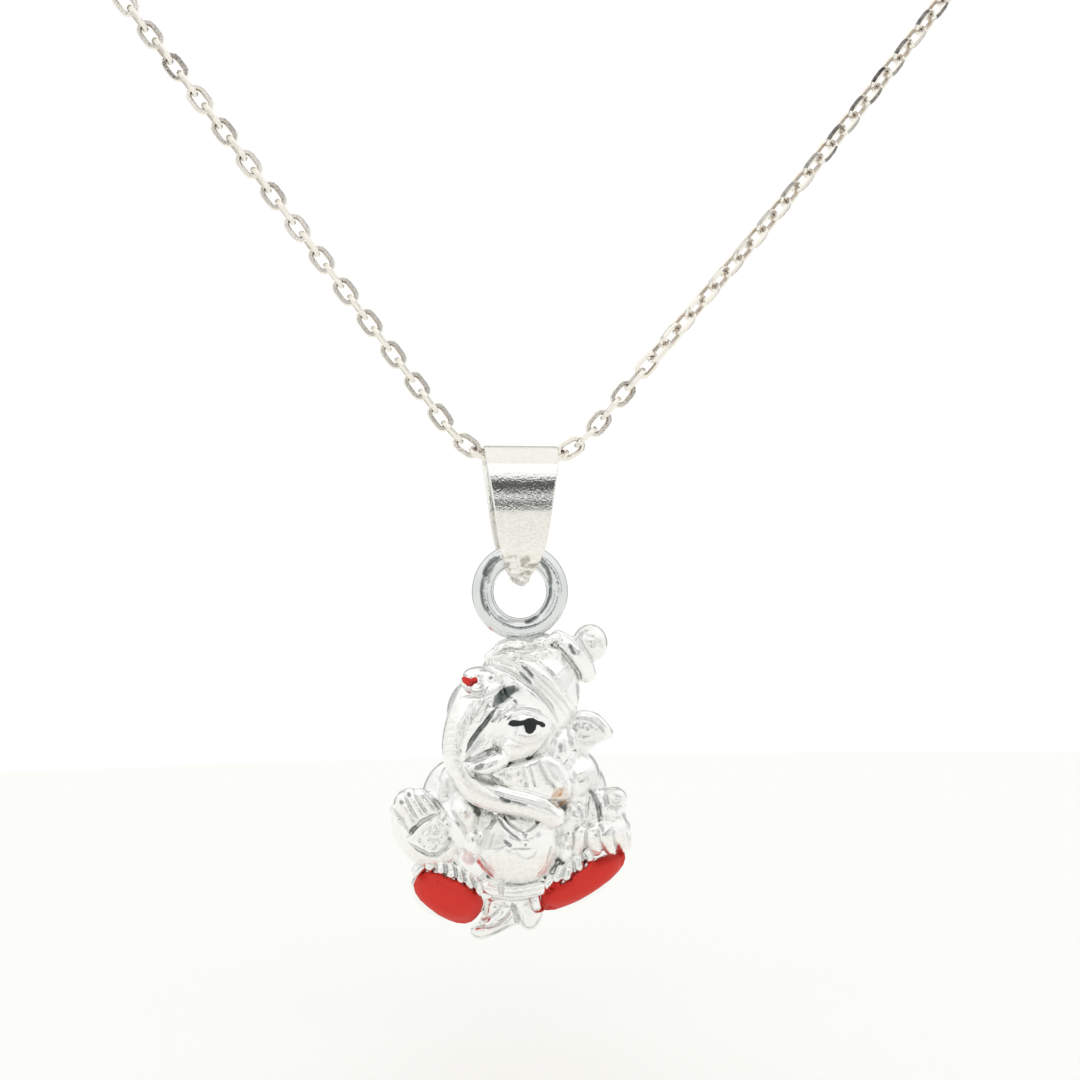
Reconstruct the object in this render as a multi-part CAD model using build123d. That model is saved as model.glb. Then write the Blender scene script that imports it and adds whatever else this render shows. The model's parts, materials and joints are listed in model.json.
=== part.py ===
from build123d import *
import math
import os
from collections import namedtuple

import numpy as np

# Ganesha pendant hanging by a soldered ring and a folded bail on a fine cable chain.
# Millimetres. +X is the viewer's right, +Z is up and the front faces -Y.
# Everything is worked out from the middle of the chain inside the bail, and then moved so that
# the origin is the nape of the neck, where the clasp sits.

# Chain and clasp
chain_thickness = 0.9
clasp_length = 8.0
clasp_diameter = 2.6
clasp_end_diameter = 1.5
clasp_taper_length = 1.75
clasp_gap = 0.1

# Bail: a strap folded over the chain, its two ends soldered to a point below the ring
bail_top_width = 4.5
bail_seat_width = 2.7
bail_depth = 3.6
bail_strap = 0.38
bail_chain_gap = 0.05
bail_ring_gap = 0.08
bail_ring_side_gap = 0.45
bail_drop = 5.63
bail_solder_drop = 1.3
bail_seat_reach = 0.78
bail_side_room = 0.65

# The bail's front below the ring's wire: drop as a share of the way to the point, and width as
# a share of the width at the seat
PointRow = namedtuple("PointRow", "drop width")
bail_point_rows = [
    PointRow(0.00, 1.00),
    PointRow(0.27, 0.82),
    PointRow(0.51, 0.60),
    PointRow(0.90, 0.22),
    PointRow(1.00, 0.10),
]

# Ring soldered upright on the turban
ring_diameter = 5.9
ring_wire = 1.34

# Seated figure
figure_width = 14.7
figure_height = 18.5
figure_depth = 6.8
figure_top_drop = 2.1
figure_back = 3.3
figure_blend = 0.35
facet_size = 0.48
figure_side_share = 0.6

# Enamel
enamel_thickness = 0.3
enamel_gap = 0.07
enamel_leg_share = 0.86
enamel_mark_share = 0.8
eye_bar_length = 2.3
eye_bar_height = 0.5
eye_pupil_diameter = 0.75
eye_thickness = 0.12

# Places worked out from those sizes, from the middle of the chain inside the bail
hinge_ring = Vector(0, 0, -bail_drop)
ring_radius = (ring_diameter - ring_wire) / 2
ring_middle = hinge_ring - Vector(0, 0, ring_radius)
figure_top = ring_middle.Z - figure_top_drop
figure_bottom = figure_top - figure_height
figure_front = figure_back - figure_depth

# Chain route round the neck, as a wearer's chain lies, from the left end at the clasp, down the
# left side, through the bail and up the right side. The bail hangs on the short level run.
nape = Vector(0, 105, 104)
bail_exit = bail_top_width / 2 + bail_side_room
chain_route = [
    Vector(-22, 102.5, 104),
    Vector(-48, 82, 101),
    Vector(-60, 49, 92),
    Vector(-56, 14, 74),
    Vector(-36.6, 0, 42.7),
    Vector(-bail_exit, 0, 0),
    Vector(bail_exit, 0, 0),
    Vector(38.6, 0, 42.1),
    Vector(57, 14, 73),
    Vector(60, 48, 92),
    Vector(48, 81, 101),
    Vector(22, 102, 104),
]
bail_bend_radius = 1.5 * chain_thickness
arc_share = 0.45

# Rounded masses of the figure. Places: across from the ring's middle, up from the toes and out
# from the flat back. They and the half sizes are shares of the figure's width, height and depth.
# Tilt turns a mass in the picture plane, in degrees, its right-hand end upwards.
Mass = namedtuple("Mass", "across up out half_across half_up half_out tilt")
masses = {
    "turban": Mass(0.023, 0.795, 0.50, 0.221, 0.150, 0.40, 0),
    "head": Mass(-0.025, 0.673, 0.54, 0.185, 0.144, 0.41, 0),
    "cheek": Mass(-0.083, 0.617, 0.79, 0.053, 0.042, 0.15, 0),
    "jaw": Mass(0.029, 0.590, 0.64, 0.103, 0.070, 0.25, -35),
    "bun_ball": Mass(0.296, 0.937, 0.43, 0.073, 0.058, 0.157, 0),
    "forehead_jewel": Mass(-0.218, 0.836, 0.81, 0.039, 0.023, 0.11, 0),
    "upper_jewel": Mass(-0.139, 0.852, 0.78, 0.035, 0.028, 0.08, 0),
    "middle_jewel": Mass(-0.165, 0.798, 0.81, 0.032, 0.025, 0.075, 0),
    "right_ear": Mass(0.279, 0.650, 0.42, 0.118, 0.075, 0.13, -5),
    "right_ear_lobe": Mass(0.230, 0.580, 0.42, 0.069, 0.070, 0.13, 25),
    "torso": Mass(-0.005, 0.416, 0.31, 0.294, 0.250, 0.31, 0),
    "chest": Mass(-0.004, 0.430, 0.53, 0.196, 0.115, 0.29, 0),
    "belly": Mass(-0.024, 0.279, 0.60, 0.184, 0.130, 0.37, 0),
    "seat": Mass(0.000, 0.180, 0.31, 0.343, 0.105, 0.29, 0),
    "left_shoulder": Mass(-0.333, 0.501, 0.43, 0.067, 0.064, 0.24, 0),
    "left_forearm": Mass(-0.331, 0.411, 0.46, 0.099, 0.098, 0.26, -20),
    "left_palm": Mass(-0.382, 0.342, 0.66, 0.133, 0.090, 0.22, -15),
    "right_shoulder": Mass(0.300, 0.521, 0.49, 0.059, 0.056, 0.24, 0),
    "right_forearm": Mass(0.358, 0.399, 0.56, 0.088, 0.080, 0.26, -20),
    "right_hand_back": Mass(0.318, 0.355, 0.62, 0.118, 0.042, 0.21, 5),
    "armlet_ball": Mass(0.401, 0.441, 0.63, 0.039, 0.031, 0.09, 0),
    "left_leg": Mass(-0.315, 0.149, 0.61, 0.159, 0.079, 0.28, -26),
    "right_leg": Mass(0.238, 0.187, 0.62, 0.208, 0.067, 0.28, 29),
    "left_drape": Mass(-0.113, 0.060, 0.44, 0.096, 0.072, 0.22, -10),
    "right_drape": Mass(0.034, 0.075, 0.46, 0.067, 0.066, 0.22, 0),
    "lap": Mass(-0.034, 0.149, 0.48, 0.196, 0.072, 0.26, 0),
}

# Long rounded forms, each a row of beads joined by tapering runs. Places are shares as above,
# and the radius is a share of the figure's height.
Bead = namedtuple("Bead", "across up out radius")
ropes = {
    "trunk": [
        Bead(-0.218, 0.755, 0.73, 0.056),
        Bead(-0.268, 0.686, 0.76, 0.050),
        Bead(-0.277, 0.611, 0.79, 0.042),
        Bead(-0.246, 0.538, 0.82, 0.040),
        Bead(-0.178, 0.481, 0.84, 0.040),
        Bead(-0.082, 0.438, 0.85, 0.040),
        Bead(0.019, 0.411, 0.86, 0.038),
        Bead(0.108, 0.391, 0.86, 0.037),
        Bead(0.149, 0.380, 0.85, 0.030),
    ],
    "tusk": [
        Bead(-0.091, 0.567, 0.87, 0.018),
        Bead(-0.173, 0.547, 0.90, 0.022),
        Bead(-0.254, 0.569, 0.91, 0.014),
    ],
    "brow": [
        Bead(-0.108, 0.735, 0.86, 0.018),
        Bead(-0.020, 0.764, 0.88, 0.020),
        Bead(0.073, 0.750, 0.83, 0.018),
    ],
    "bun_roll": [
        Bead(0.170, 0.941, 0.47, 0.040),
        Bead(0.255, 0.838, 0.47, 0.040),
    ],
    "turban_band": [
        Bead(-0.137, 0.840, 0.74, 0.026),
        Bead(0.002, 0.820, 0.87, 0.027),
        Bead(0.188, 0.759, 0.65, 0.026),
    ],
    "right_arm": [
        Bead(0.307, 0.505, 0.50, 0.036),
        Bead(0.369, 0.405, 0.56, 0.041),
    ],
    "sash": [
        Bead(-0.180, 0.179, 0.80, 0.018),
        Bead(-0.033, 0.142, 0.86, 0.021),
        Bead(0.039, 0.160, 0.83, 0.018),
    ],
}

# Hands: fingers side by side, with their roots and their tips evenly between two beads
Hand = namedtuple("Hand", "fingers first_root last_root first_tip last_tip")
hands = {
    "raised_hand": Hand(
        4,
        Bead(-0.460, 0.334, 0.74, 0.026), Bead(-0.362, 0.395, 0.78, 0.026),
        Bead(-0.509, 0.404, 0.68, 0.022), Bead(-0.407, 0.465, 0.70, 0.022),
    ),
    "hand_on_knee": Hand(
        5,
        Bead(0.206, 0.350, 0.74, 0.024), Bead(0.416, 0.372, 0.64, 0.024),
        Bead(0.206, 0.310, 0.76, 0.022), Bead(0.431, 0.338, 0.66, 0.022),
    ),
}

# The black eye lies on the front of the head, at these shares across and up
eye_across = 0.004
eye_up = 0.700
eye_tilt = -6

# Values for working out the casting's surface
far_away = 1e3
least_slope = 1e-9
least_steepness = 0.1
slope_step = 0.01
settling_rounds = 3


def place(across, up, out):
    """A point of the figure from its shares of the width, height and depth."""
    return np.array([
        across * figure_width,
        figure_back - out * figure_depth,
        figure_bottom + up * figure_height,
    ])


def half_sizes(mass):
    return np.array([
        mass.half_across * figure_width,
        mass.half_out * figure_depth,
        mass.half_up * figure_height,
    ])


def mass_distance(points, mass):
    """Nearly the distance from an ellipsoid, negative inside it."""
    turn = math.radians(mass.tilt)
    away = points - place(mass.across, mass.up, mass.out)
    local = np.stack([
        away[:, 0] * math.cos(turn) + away[:, 2] * math.sin(turn),
        away[:, 1],
        away[:, 2] * math.cos(turn) - away[:, 0] * math.sin(turn),
    ], axis=1)
    half = half_sizes(mass)
    reach = np.linalg.norm(local / half, axis=1)
    slope = np.linalg.norm(local / half ** 2, axis=1)
    return reach * (reach - 1) / np.maximum(slope, least_slope)


def run_distance(points, first, last):
    """Distance from a tapering round run between two beads."""
    start = place(first.across, first.up, first.out)
    along = place(last.across, last.up, last.out) - start
    share = np.clip((points - start) @ along / (along @ along), 0, 1)
    radius = (first.radius + (last.radius - first.radius) * share) * figure_height
    return np.linalg.norm(points - start - share[:, None] * along, axis=1) - radius


def ring_distance(points):
    away = points - np.array([ring_middle.X, ring_middle.Y, ring_middle.Z])
    from_circle = np.hypot(away[:, 0], away[:, 2]) - ring_radius
    return np.hypot(from_circle, away[:, 1]) - ring_wire / 2


def blended(first, second):
    """Union of two forms with a small fillet where they meet."""
    share = np.clip(0.5 + 0.5 * (second - first) / figure_blend, 0, 1)
    return second + (first - second) * share - figure_blend * share * (1 - share)


def between(first, last, share):
    return Bead(*(a + (b - a) * share for a, b in zip(first, last)))


def finger_runs():
    """Root and tip bead of each finger of both hands."""
    for hand in hands.values():
        for share in np.linspace(0, 1, hand.fingers):
            root = between(hand.first_root, hand.last_root, share)
            yield root, between(hand.first_tip, hand.last_tip, share)


def figure_distance(points):
    """Distance-like value of the whole casting with its ring, negative inside the metal."""
    value = np.full(len(points), far_away)
    for mass in masses.values():
        value = blended(value, mass_distance(points, mass))
    for beads in ropes.values():
        for first, last in zip(beads, beads[1:]):
            value = blended(value, run_distance(points, first, last))
    for root, tip in finger_runs():
        value = blended(value, run_distance(points, root, tip))
    value = -blended(-value, figure_back - points[:, 1])
    return blended(value, ring_distance(points))


def filled_corners(value):
    """The lattice values, with metal added where two corners would touch only at a diagonal.

    Such a place would give an edge shared by four facets, so its open corner is closed."""
    solder = -1e-3
    while True:
        metal = value < 0
        closed = metal.copy()
        for first, second in ((0, 1), (0, 2), (1, 2)):
            here = [slice(None)] * 3
            beside, above, across = list(here), list(here), list(here)
            here[first], here[second] = slice(None, -1), slice(None, -1)
            beside[first], beside[second] = slice(1, None), slice(None, -1)
            above[first], above[second] = slice(None, -1), slice(1, None)
            across[first], across[second] = slice(1, None), slice(1, None)
            here, beside, above, across = map(tuple, (here, beside, above, across))
            rising = metal[here] & metal[across] & ~metal[beside] & ~metal[above]
            falling = metal[beside] & metal[above] & ~metal[here] & ~metal[across]
            closed[beside] |= rising
            closed[here] |= falling
        low, high = slice(None, -1), slice(1, None)
        count = sum(
            metal[a, b, c].astype(int) for a in (low, high) for b in (low, high) for c in (low, high)
        )
        for a, b, c in ((low, low, low), (high, low, low), (low, high, low), (low, low, high)):
            opposite = tuple(high if side is low else low for side in (a, b, c))
            pair = metal[a, b, c] & metal[opposite] & (count == 2)
            gap = ~metal[a, b, c] & ~metal[opposite] & (count == 6)
            closed[low, b, c] |= pair
            closed[a, b, c] |= gap
        if (closed == metal).all():
            return value
        value = np.where(closed & ~metal, solder, value)


def faceted(distance, low, high, size):
    """A closed solid of flat facets on the surface where distance(points) is zero.

    One corner is set in each lattice cell that the surface crosses, and each crossed lattice
    edge joins the four cells round it by two facets."""
    counts = np.ceil((high - low) / size).astype(int) + 1
    axes = [low[axis] + size * np.arange(counts[axis]) for axis in range(3)]
    lattice = np.stack(np.meshgrid(*axes, indexing="ij"), axis=-1)
    value = filled_corners(distance(lattice.reshape(-1, 3)).reshape(counts))

    total = np.zeros(tuple(counts - 1) + (3,))
    crossings = np.zeros(counts - 1)
    quads = []
    steps = np.eye(3, dtype=int)
    for axis in range(3):
        side, rise = steps[(axis + 1) % 3], steps[(axis + 2) % 3]
        start = np.argwhere(np.diff(np.sign(value) < 0, axis=axis))
        start = start[(start[:, (axis + 1) % 3] > 0) & (start[:, (axis + 2) % 3] > 0)]
        near = value[tuple(start.T)]
        far = value[tuple((start + steps[axis]).T)]
        crossed = axes_point(axes, start) + (near / (near - far) * size)[:, None] * steps[axis]
        cells = [start - side - rise, start - rise, start, start - side]
        for cell in cells:
            np.add.at(total, tuple(cell.T), crossed)
            np.add.at(crossings, tuple(cell.T), 1)
        ordered = np.stack(cells, axis=1)
        ordered[near >= 0] = ordered[near >= 0][:, ::-1]
        quads.append(ordered)

    cells = np.argwhere(crossings > 0)
    corners = total[tuple(cells.T)] / crossings[tuple(cells.T)][:, None]
    floor = axes_point(axes, cells)
    for _ in range(settling_rounds):
        corners = np.clip(onto_surface(distance, corners), floor, floor + size)
    number = np.full(counts - 1, -1)
    number[tuple(cells.T)] = np.arange(len(cells))
    quads = np.concatenate(quads)
    quads = number[tuple(quads.reshape(-1, 3).T)].reshape(-1, 4)
    return solid_of(corners, split_quads(corners, quads))


def axes_point(axes, index):
    return np.stack([axes[axis][index[:, axis]] for axis in range(3)], axis=1)


def onto_surface(distance, points):
    """Points moved along the slope of the distance, on to where it is zero."""
    slope = np.stack([
        (distance(points + step) - distance(points - step)) / (2 * slope_step)
        for step in slope_step * np.eye(3)
    ], axis=1)
    steepness = np.maximum((slope ** 2).sum(axis=1), least_steepness)
    return points - slope * (distance(points) / steepness)[:, None]


def split_quads(corners, quads):
    """Two triangles for each four corners, cut along the shorter diagonal."""
    a, b, c, d = (corners[quads[:, i]] for i in range(4))
    short = np.linalg.norm(a - c, axis=1) <= np.linalg.norm(b - d, axis=1)
    first = np.where(short[:, None], quads[:, [0, 1, 2]], quads[:, [0, 1, 3]])
    second = np.where(short[:, None], quads[:, [0, 2, 3]], quads[:, [1, 2, 3]])
    return np.concatenate([first, second])


def solid_of(corners, triangles):
    points = [Vector(*corner) for corner in corners]
    faces = [Face(Wire.make_polygon([points[i] for i in row], close=True)) for row in triangles]
    return Solid(Shell(faces))


def make_figure():
    """The casting with its soldered ring, as one solid."""
    margin = 2 * facet_size
    ring_top = ring_middle.Z + ring_diameter / 2
    side = figure_side_share * figure_width
    low = np.array([-side, figure_front - margin, figure_bottom - margin])
    high = np.array([side, figure_back + margin, ring_top + margin])
    return faceted(figure_distance, low, high, facet_size)


def ellipsoid(mass, grown):
    """One mass of the figure as a solid, larger by a distance all round."""
    half = half_sizes(mass) + grown
    solid = scale(Sphere(1), by=tuple(half))
    return Pos(*place(mass.across, mass.up, mass.out)) * Rot(0, -mass.tilt, 0) * solid


def enamel_over(mass, outline, thickness):
    """A skin of enamel on the front of one mass, with the edge of an outline drawn on +X, +Z."""
    reach = mass.half_out * figure_depth + thickness + enamel_gap
    plane = Plane(origin=tuple(place(mass.across, mass.up, mass.out)), x_dir=(1, 0, 0),
                  z_dir=(0, -1, 0))
    cutter = extrude(plane * outline, amount=2 * reach)
    skin = ellipsoid(mass, enamel_gap + thickness) - ellipsoid(mass, enamel_gap)
    return (skin & cutter).solid()


def enamel_oval(mass, share, thickness):
    oval = Ellipse(share * mass.half_across * figure_width, share * mass.half_up * figure_height)
    return enamel_over(mass, Rot(0, 0, mass.tilt) * oval, thickness)


def make_eye():
    """The black eye: a narrow bar with the pupil hanging from it, on the front of the head."""
    head = masses["head"]
    offset = place(eye_across, eye_up, head.out) - place(head.across, head.up, head.out)
    bar = SlotOverall(eye_bar_length, eye_bar_height)
    pupil = Pos(0, -eye_bar_height / 2) * Circle(eye_pupil_diameter / 2)
    outline = Pos(offset[0], offset[2]) * Rot(0, 0, eye_tilt) * (bar + pupil)
    return enamel_over(head, outline, eye_thickness)


def make_bail():
    """Tapered strap folded over the chain, with a solid soldered point under the ring's wire."""
    seat = ring_wire / 2 + bail_ring_gap
    point_drop = seat + bail_solder_drop
    chain_fold = bail_depth / 2 - bail_strap
    ring_fold = ring_wire / 2 + bail_ring_side_gap
    chain_fold_z = chain_thickness / 2 + bail_chain_gap - chain_fold
    ring_fold_z = hinge_ring.Z - ring_wire / 2 + ring_fold
    point_radius = bail_strap
    point_z = hinge_ring.Z - point_drop + point_radius

    inner = strap_outline([(chain_fold_z, chain_fold), (ring_fold_z, ring_fold)])
    outer = strap_outline([
        (chain_fold_z, chain_fold + bail_strap),
        (ring_fold_z, ring_fold + bail_strap),
        (point_z, point_radius),
    ])
    loop = extrude(Plane.YZ * outer, amount=bail_top_width, both=True)
    loop -= extrude(Plane.YZ * inner, amount=bail_top_width, both=True)

    top = chain_fold_z + chain_fold + bail_strap
    right_side = [(bail_top_width / 2, top)]
    for drop, width in bail_point_rows:
        right_side.append((width * bail_seat_width / 2, hinge_ring.Z - drop * point_drop))
    left_side = [(-across, up) for across, up in reversed(right_side)]
    front = make_face(Polyline(*right_side, *left_side, close=True))
    front = extrude(Plane.XZ * front, amount=bail_depth, both=True)
    return (loop & front - ring_path(seat)).solid()


def strap_outline(circles):
    """The outline of a band pulled tight round circles, each given as its height and radius."""
    right_side = []
    for (high, upper), (low, lower) in zip(circles, circles[1:]):
        slope = (lower - upper) / (high - low)
        level = math.sqrt(1 - slope ** 2)
        right_side += [(upper * level, high + upper * slope), (lower * level, low + lower * slope)]
    left_side = [(-across, up) for across, up in reversed(right_side)]
    top, bottom = circles[0][0] + circles[0][1], circles[-1][0] - circles[-1][1]
    with BuildSketch() as outline:
        with BuildLine():
            ThreePointArc(left_side[-1], (0, top), right_side[0])
            Polyline(*right_side)
            ThreePointArc(right_side[-1], (0, bottom), left_side[0])
            Polyline(*left_side)
        make_face()
    return outline.sketch


def ring_path(clear_radius):
    """The space that the ring's wire sweeps under the hinge when the pendant swings in the bail."""
    hole = ring_radius - clear_radius
    side = bail_top_width / 2
    reach = bail_seat_reach * hole
    lowest = ring_radius - math.sqrt(hole ** 2 - reach ** 2)
    with BuildSketch(Plane.XZ) as half:
        with BuildLine():
            Polyline((-reach, lowest), (-side, lowest), (-side, 0))
            Polyline((-side, 0), (side, 0), (side, lowest), (reach, lowest))
            ThreePointArc((reach, lowest), (0, clear_radius), (-reach, lowest))
        make_face()
    return Pos(*hinge_ring) * revolve(half.sketch, Axis.X)


def route_radii(points):
    """The largest arc that each corner's two runs allow, and the tight bends beside the bail."""
    radii = []
    for before, here, after in zip(points, points[1:], points[2:]):
        turn = math.radians((here - before).get_angle(after - here))
        shorter = min((here - before).length, (after - here).length)
        radii.append(arc_share * shorter / math.tan(turn / 2))
    middle = len(radii) // 2
    radii[middle - 1] = bail_bend_radius
    radii[middle] = bail_bend_radius
    return radii


def make_chain():
    """The chain as a plain tube, all round the neck from one end of the clasp to the other."""
    end = clasp_length / 2 + clasp_gap
    points = [nape - Vector(end, 0, 0)] + chain_route + [nape + Vector(end, 0, 0)]
    radii = route_radii(points)
    print("chain radii", [round(radius, 2) for radius in radii])
    path = FilletPolyline(*points, radius=radii)
    section = Plane(origin=path @ 0, z_dir=path % 0) * Circle(chain_thickness / 2)
    tube = sweep(section, path=path)
    expected = math.pi * (chain_thickness / 2) ** 2 * path.length
    print("chain length", round(path.length, 2), "volume", round(tube.volume, 3), "of", round(expected, 3))
    return tube.solid()


def make_clasp():
    """A plain barrel clasp with tapered ends."""
    half = clasp_length / 2
    body = clasp_diameter / 2
    end = clasp_end_diameter / 2
    straight = half - clasp_taper_length
    outline = make_face(Polyline(
        (-half, 0), (half, 0), (half, end), (straight, body), (-straight, body),
        (-half, end), close=True,
    ))
    return Pos(*nape) * revolve(outline, Axis.X)


def main():
    os.makedirs("parts", exist_ok=True)
    figure = make_figure()
    print("figure facets", len(figure.faces()), "volume", round(figure.volume, 1))
    print("figure middle of mass", figure.center(CenterOf.MASS) - ring_middle)
    nodes = {
        "chain": make_chain(),
        "clasp": make_clasp(),
        "bail": make_bail(),
        "figure_with_ring": figure,
        "left_leg_enamel": enamel_oval(masses["left_leg"], enamel_leg_share, enamel_thickness),
        "right_leg_enamel": enamel_oval(masses["right_leg"], enamel_leg_share, enamel_thickness),
        "forehead_enamel": enamel_oval(masses["forehead_jewel"], enamel_mark_share, eye_thickness),
        "eye_enamel": make_eye(),
    }
    for name, solid in nodes.items():
        export_step(Pos(*(-nape)) * solid, f"parts/{name}.step", write_pcurves=False)


main()
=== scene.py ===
# %% [markdown]
# A cast silver figure pendant on a fine chain, made up as a jeweller would finish it.
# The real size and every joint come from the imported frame, which this script never changes.
# Each step below makes one piece: the cell before it says what the piece is on the real necklace,
# how it could be made, and why it is made this way here.

import json
import math
from collections import namedtuple

import bmesh
import bpy
import numpy as np
from mathutils import Matrix, Vector
from mathutils.bvhtree import BVHTree


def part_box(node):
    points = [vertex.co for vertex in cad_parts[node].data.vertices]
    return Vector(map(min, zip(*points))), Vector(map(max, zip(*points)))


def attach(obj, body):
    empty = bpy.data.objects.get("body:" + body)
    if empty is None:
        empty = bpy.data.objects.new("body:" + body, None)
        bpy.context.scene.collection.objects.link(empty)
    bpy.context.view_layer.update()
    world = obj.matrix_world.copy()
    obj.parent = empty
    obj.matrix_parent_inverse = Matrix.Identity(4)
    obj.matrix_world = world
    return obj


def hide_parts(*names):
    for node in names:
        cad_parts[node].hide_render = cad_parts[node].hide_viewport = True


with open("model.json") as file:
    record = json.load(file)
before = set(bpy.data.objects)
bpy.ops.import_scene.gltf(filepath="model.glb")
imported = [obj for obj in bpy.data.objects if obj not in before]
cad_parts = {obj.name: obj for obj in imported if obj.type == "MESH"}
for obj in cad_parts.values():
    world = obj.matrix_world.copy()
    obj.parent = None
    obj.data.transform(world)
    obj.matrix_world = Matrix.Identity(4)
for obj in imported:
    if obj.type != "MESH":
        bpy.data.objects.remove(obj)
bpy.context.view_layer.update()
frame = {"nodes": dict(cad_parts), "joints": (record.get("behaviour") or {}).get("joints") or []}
print("frame nodes", sorted(frame["nodes"]))

# %% [markdown]
# A pendant is too small to model in metres, because many tools stop at a tenth of a millimetre.
# So each piece is made in millimetres, measured from the middle of the chain inside the bail,
# and its finished mesh is brought into the frame by one matrix. The two hinges in the frame say
# where that middle and the ring's wire are.

# %% Millimetres to the frame
hinges = {joint["name"]: Vector(joint["pos_m"]) for joint in frame["joints"]}
millimetre = 0.001
to_frame = Matrix.Translation(hinges["bail_swing"]) @ Matrix.Scale(millimetre, 4)
ring_hinge = (hinges["pendant_swing"] - hinges["bail_swing"]) / millimetre
print("ring's wire hangs", round(-ring_hinge.z, 2), "mm below the chain")

# %% [markdown]
# The camera comes first, because it shows whether the rest is where the photograph has it.
# It looks level, a little from the left, from about nine centimetres away. The focal length is
# given in pixels of the photograph's own frame, which makes it easy to check by hand.

# %% Camera
photo_pixels = 1080
sensor_width = 36.0
focal_pixels = 1536.0
camera_azimuth = math.radians(-7.5)
camera_distance = 93.5
aim_right = 1.217
aim_down = 4.778

view_right = Vector((math.cos(camera_azimuth), math.sin(camera_azimuth), 0))
view_forward = Vector((-math.sin(camera_azimuth), math.cos(camera_azimuth), 0))
eye = aim_right * view_right - Vector((0, 0, aim_down)) - camera_distance * view_forward

camera_data = bpy.data.cameras.new("camera")
camera_data.sensor_width = sensor_width
camera_data.lens = sensor_width * focal_pixels / photo_pixels
camera_data.clip_start = 0.001
camera_data.clip_end = 10
camera = bpy.data.objects.new("camera", camera_data)
bpy.context.scene.collection.objects.link(camera)
camera.location = to_frame @ eye
camera.rotation_mode = "QUATERNION"
camera.rotation_quaternion = view_forward.to_track_quat("-Z", "Y")
bpy.context.scene.camera = camera
print("lens", round(camera_data.lens, 1), "mm")


def in_picture(points):
    """Where points in millimetres lie in the photograph's frame, as two rows of pixels."""
    away = points - np.array(eye)
    depth = away @ np.array(view_forward)
    across = photo_pixels / 2 + focal_pixels * (away @ np.array(view_right)) / depth
    down = photo_pixels / 2 - focal_pixels * away[:, 2] / depth
    return across, down


# %% [markdown]
# Every piece takes the same few steps. Its corners are read as an array, a value is written for
# each corner or face, modifiers are run for good, and the finished mesh goes on its body in the
# frame. A flat back is shaded flat, because smooth shading would bend the light round its rim.

# %% Helpers for finished pieces
flat_back_normal = 0.99999


def only(kind, items):
    """The items of one kind in what a bmesh operator gives back."""
    return [item for item in items if isinstance(item, kind)]


def edges_at(corners):
    """The edges at these corners, each one once and in the same order in each run."""
    return list(dict.fromkeys(edge for corner in corners for edge in corner.link_edges))


def between_0_and_1(value):
    return max(0, min(1, value))


def corners_of(mesh):
    places = np.zeros(len(mesh.vertices) * 3)
    mesh.vertices.foreach_get("co", places)
    return places.reshape(-1, 3)


def normals_of(mesh):
    normals = np.zeros(len(mesh.vertices) * 3)
    mesh.vertex_normals.foreach_get("vector", normals)
    return normals.reshape(-1, 3)


def keep_mask(mesh, name, values, domain="POINT"):
    """Write the values as an attribute, which a material reads as a mask."""
    mesh.attributes.new(name, "FLOAT", domain).data.foreach_set("value", values)


def mesh_of(bm, name):
    """A mesh from a bmesh, which is freed."""
    mesh = bpy.data.meshes.new(name)
    bm.to_mesh(mesh)
    bm.free()
    return mesh


def evaluated(data, name, settings=()):
    """The mesh that a mesh or a curve gives after its modifiers, each a kind and its settings."""
    helper = bpy.data.objects.new(name + "_helper", data)
    bpy.context.scene.collection.objects.link(helper)
    for kind, values in settings:
        modifier = helper.modifiers.new(kind.lower(), kind)
        for key, value in values.items():
            setattr(modifier, key, value)
    shaped = bpy.data.meshes.new_from_object(
        helper.evaluated_get(bpy.context.evaluated_depsgraph_get()))
    bpy.data.objects.remove(helper)
    shaped.name = name
    return shaped


def smooth_curve(name, points, steps):
    """A smooth curve with these control points, this many steps from one to the next."""
    curve = bpy.data.curves.new(name, "CURVE")
    curve.dimensions = "3D"
    curve.resolution_u = steps
    spline = curve.splines.new("NURBS")
    spline.points.add(len(points) - 1)
    for control, point in zip(spline.points, points):
        control.co = (*point, 1)
    spline.order_u = 3
    spline.use_endpoint_u = True
    return curve


def finished(name, mesh, body, material, replaced, smooth=True):
    """A piece in the frame, riding on its body in place of the node that it replaces."""
    mesh.transform(to_frame)
    shaded = [smooth and face.normal.y < flat_back_normal for face in mesh.polygons]
    mesh.polygons.foreach_set("use_smooth", shaded)
    mesh.materials.clear()
    mesh.materials.append(material)
    piece = bpy.data.objects.new(name, mesh)
    bpy.context.scene.collection.objects.link(piece)
    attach(piece, body)
    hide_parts(replaced)
    mesh.calc_loop_triangles()
    print(name, len(mesh.loop_triangles), "triangles")
    return piece


# %% [markdown]
# Silver looks like what it reflects, so its own colour says little. What tells cast silver from
# chrome is its surface: high places polished by the wheel, hollows left frosted from the mould,
# and a fine grain in both. That effect is used by every silver here, so it is one node group. It
# has masks for frosted, dark, red and amber places, and each material sets its scale and strength.

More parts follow.
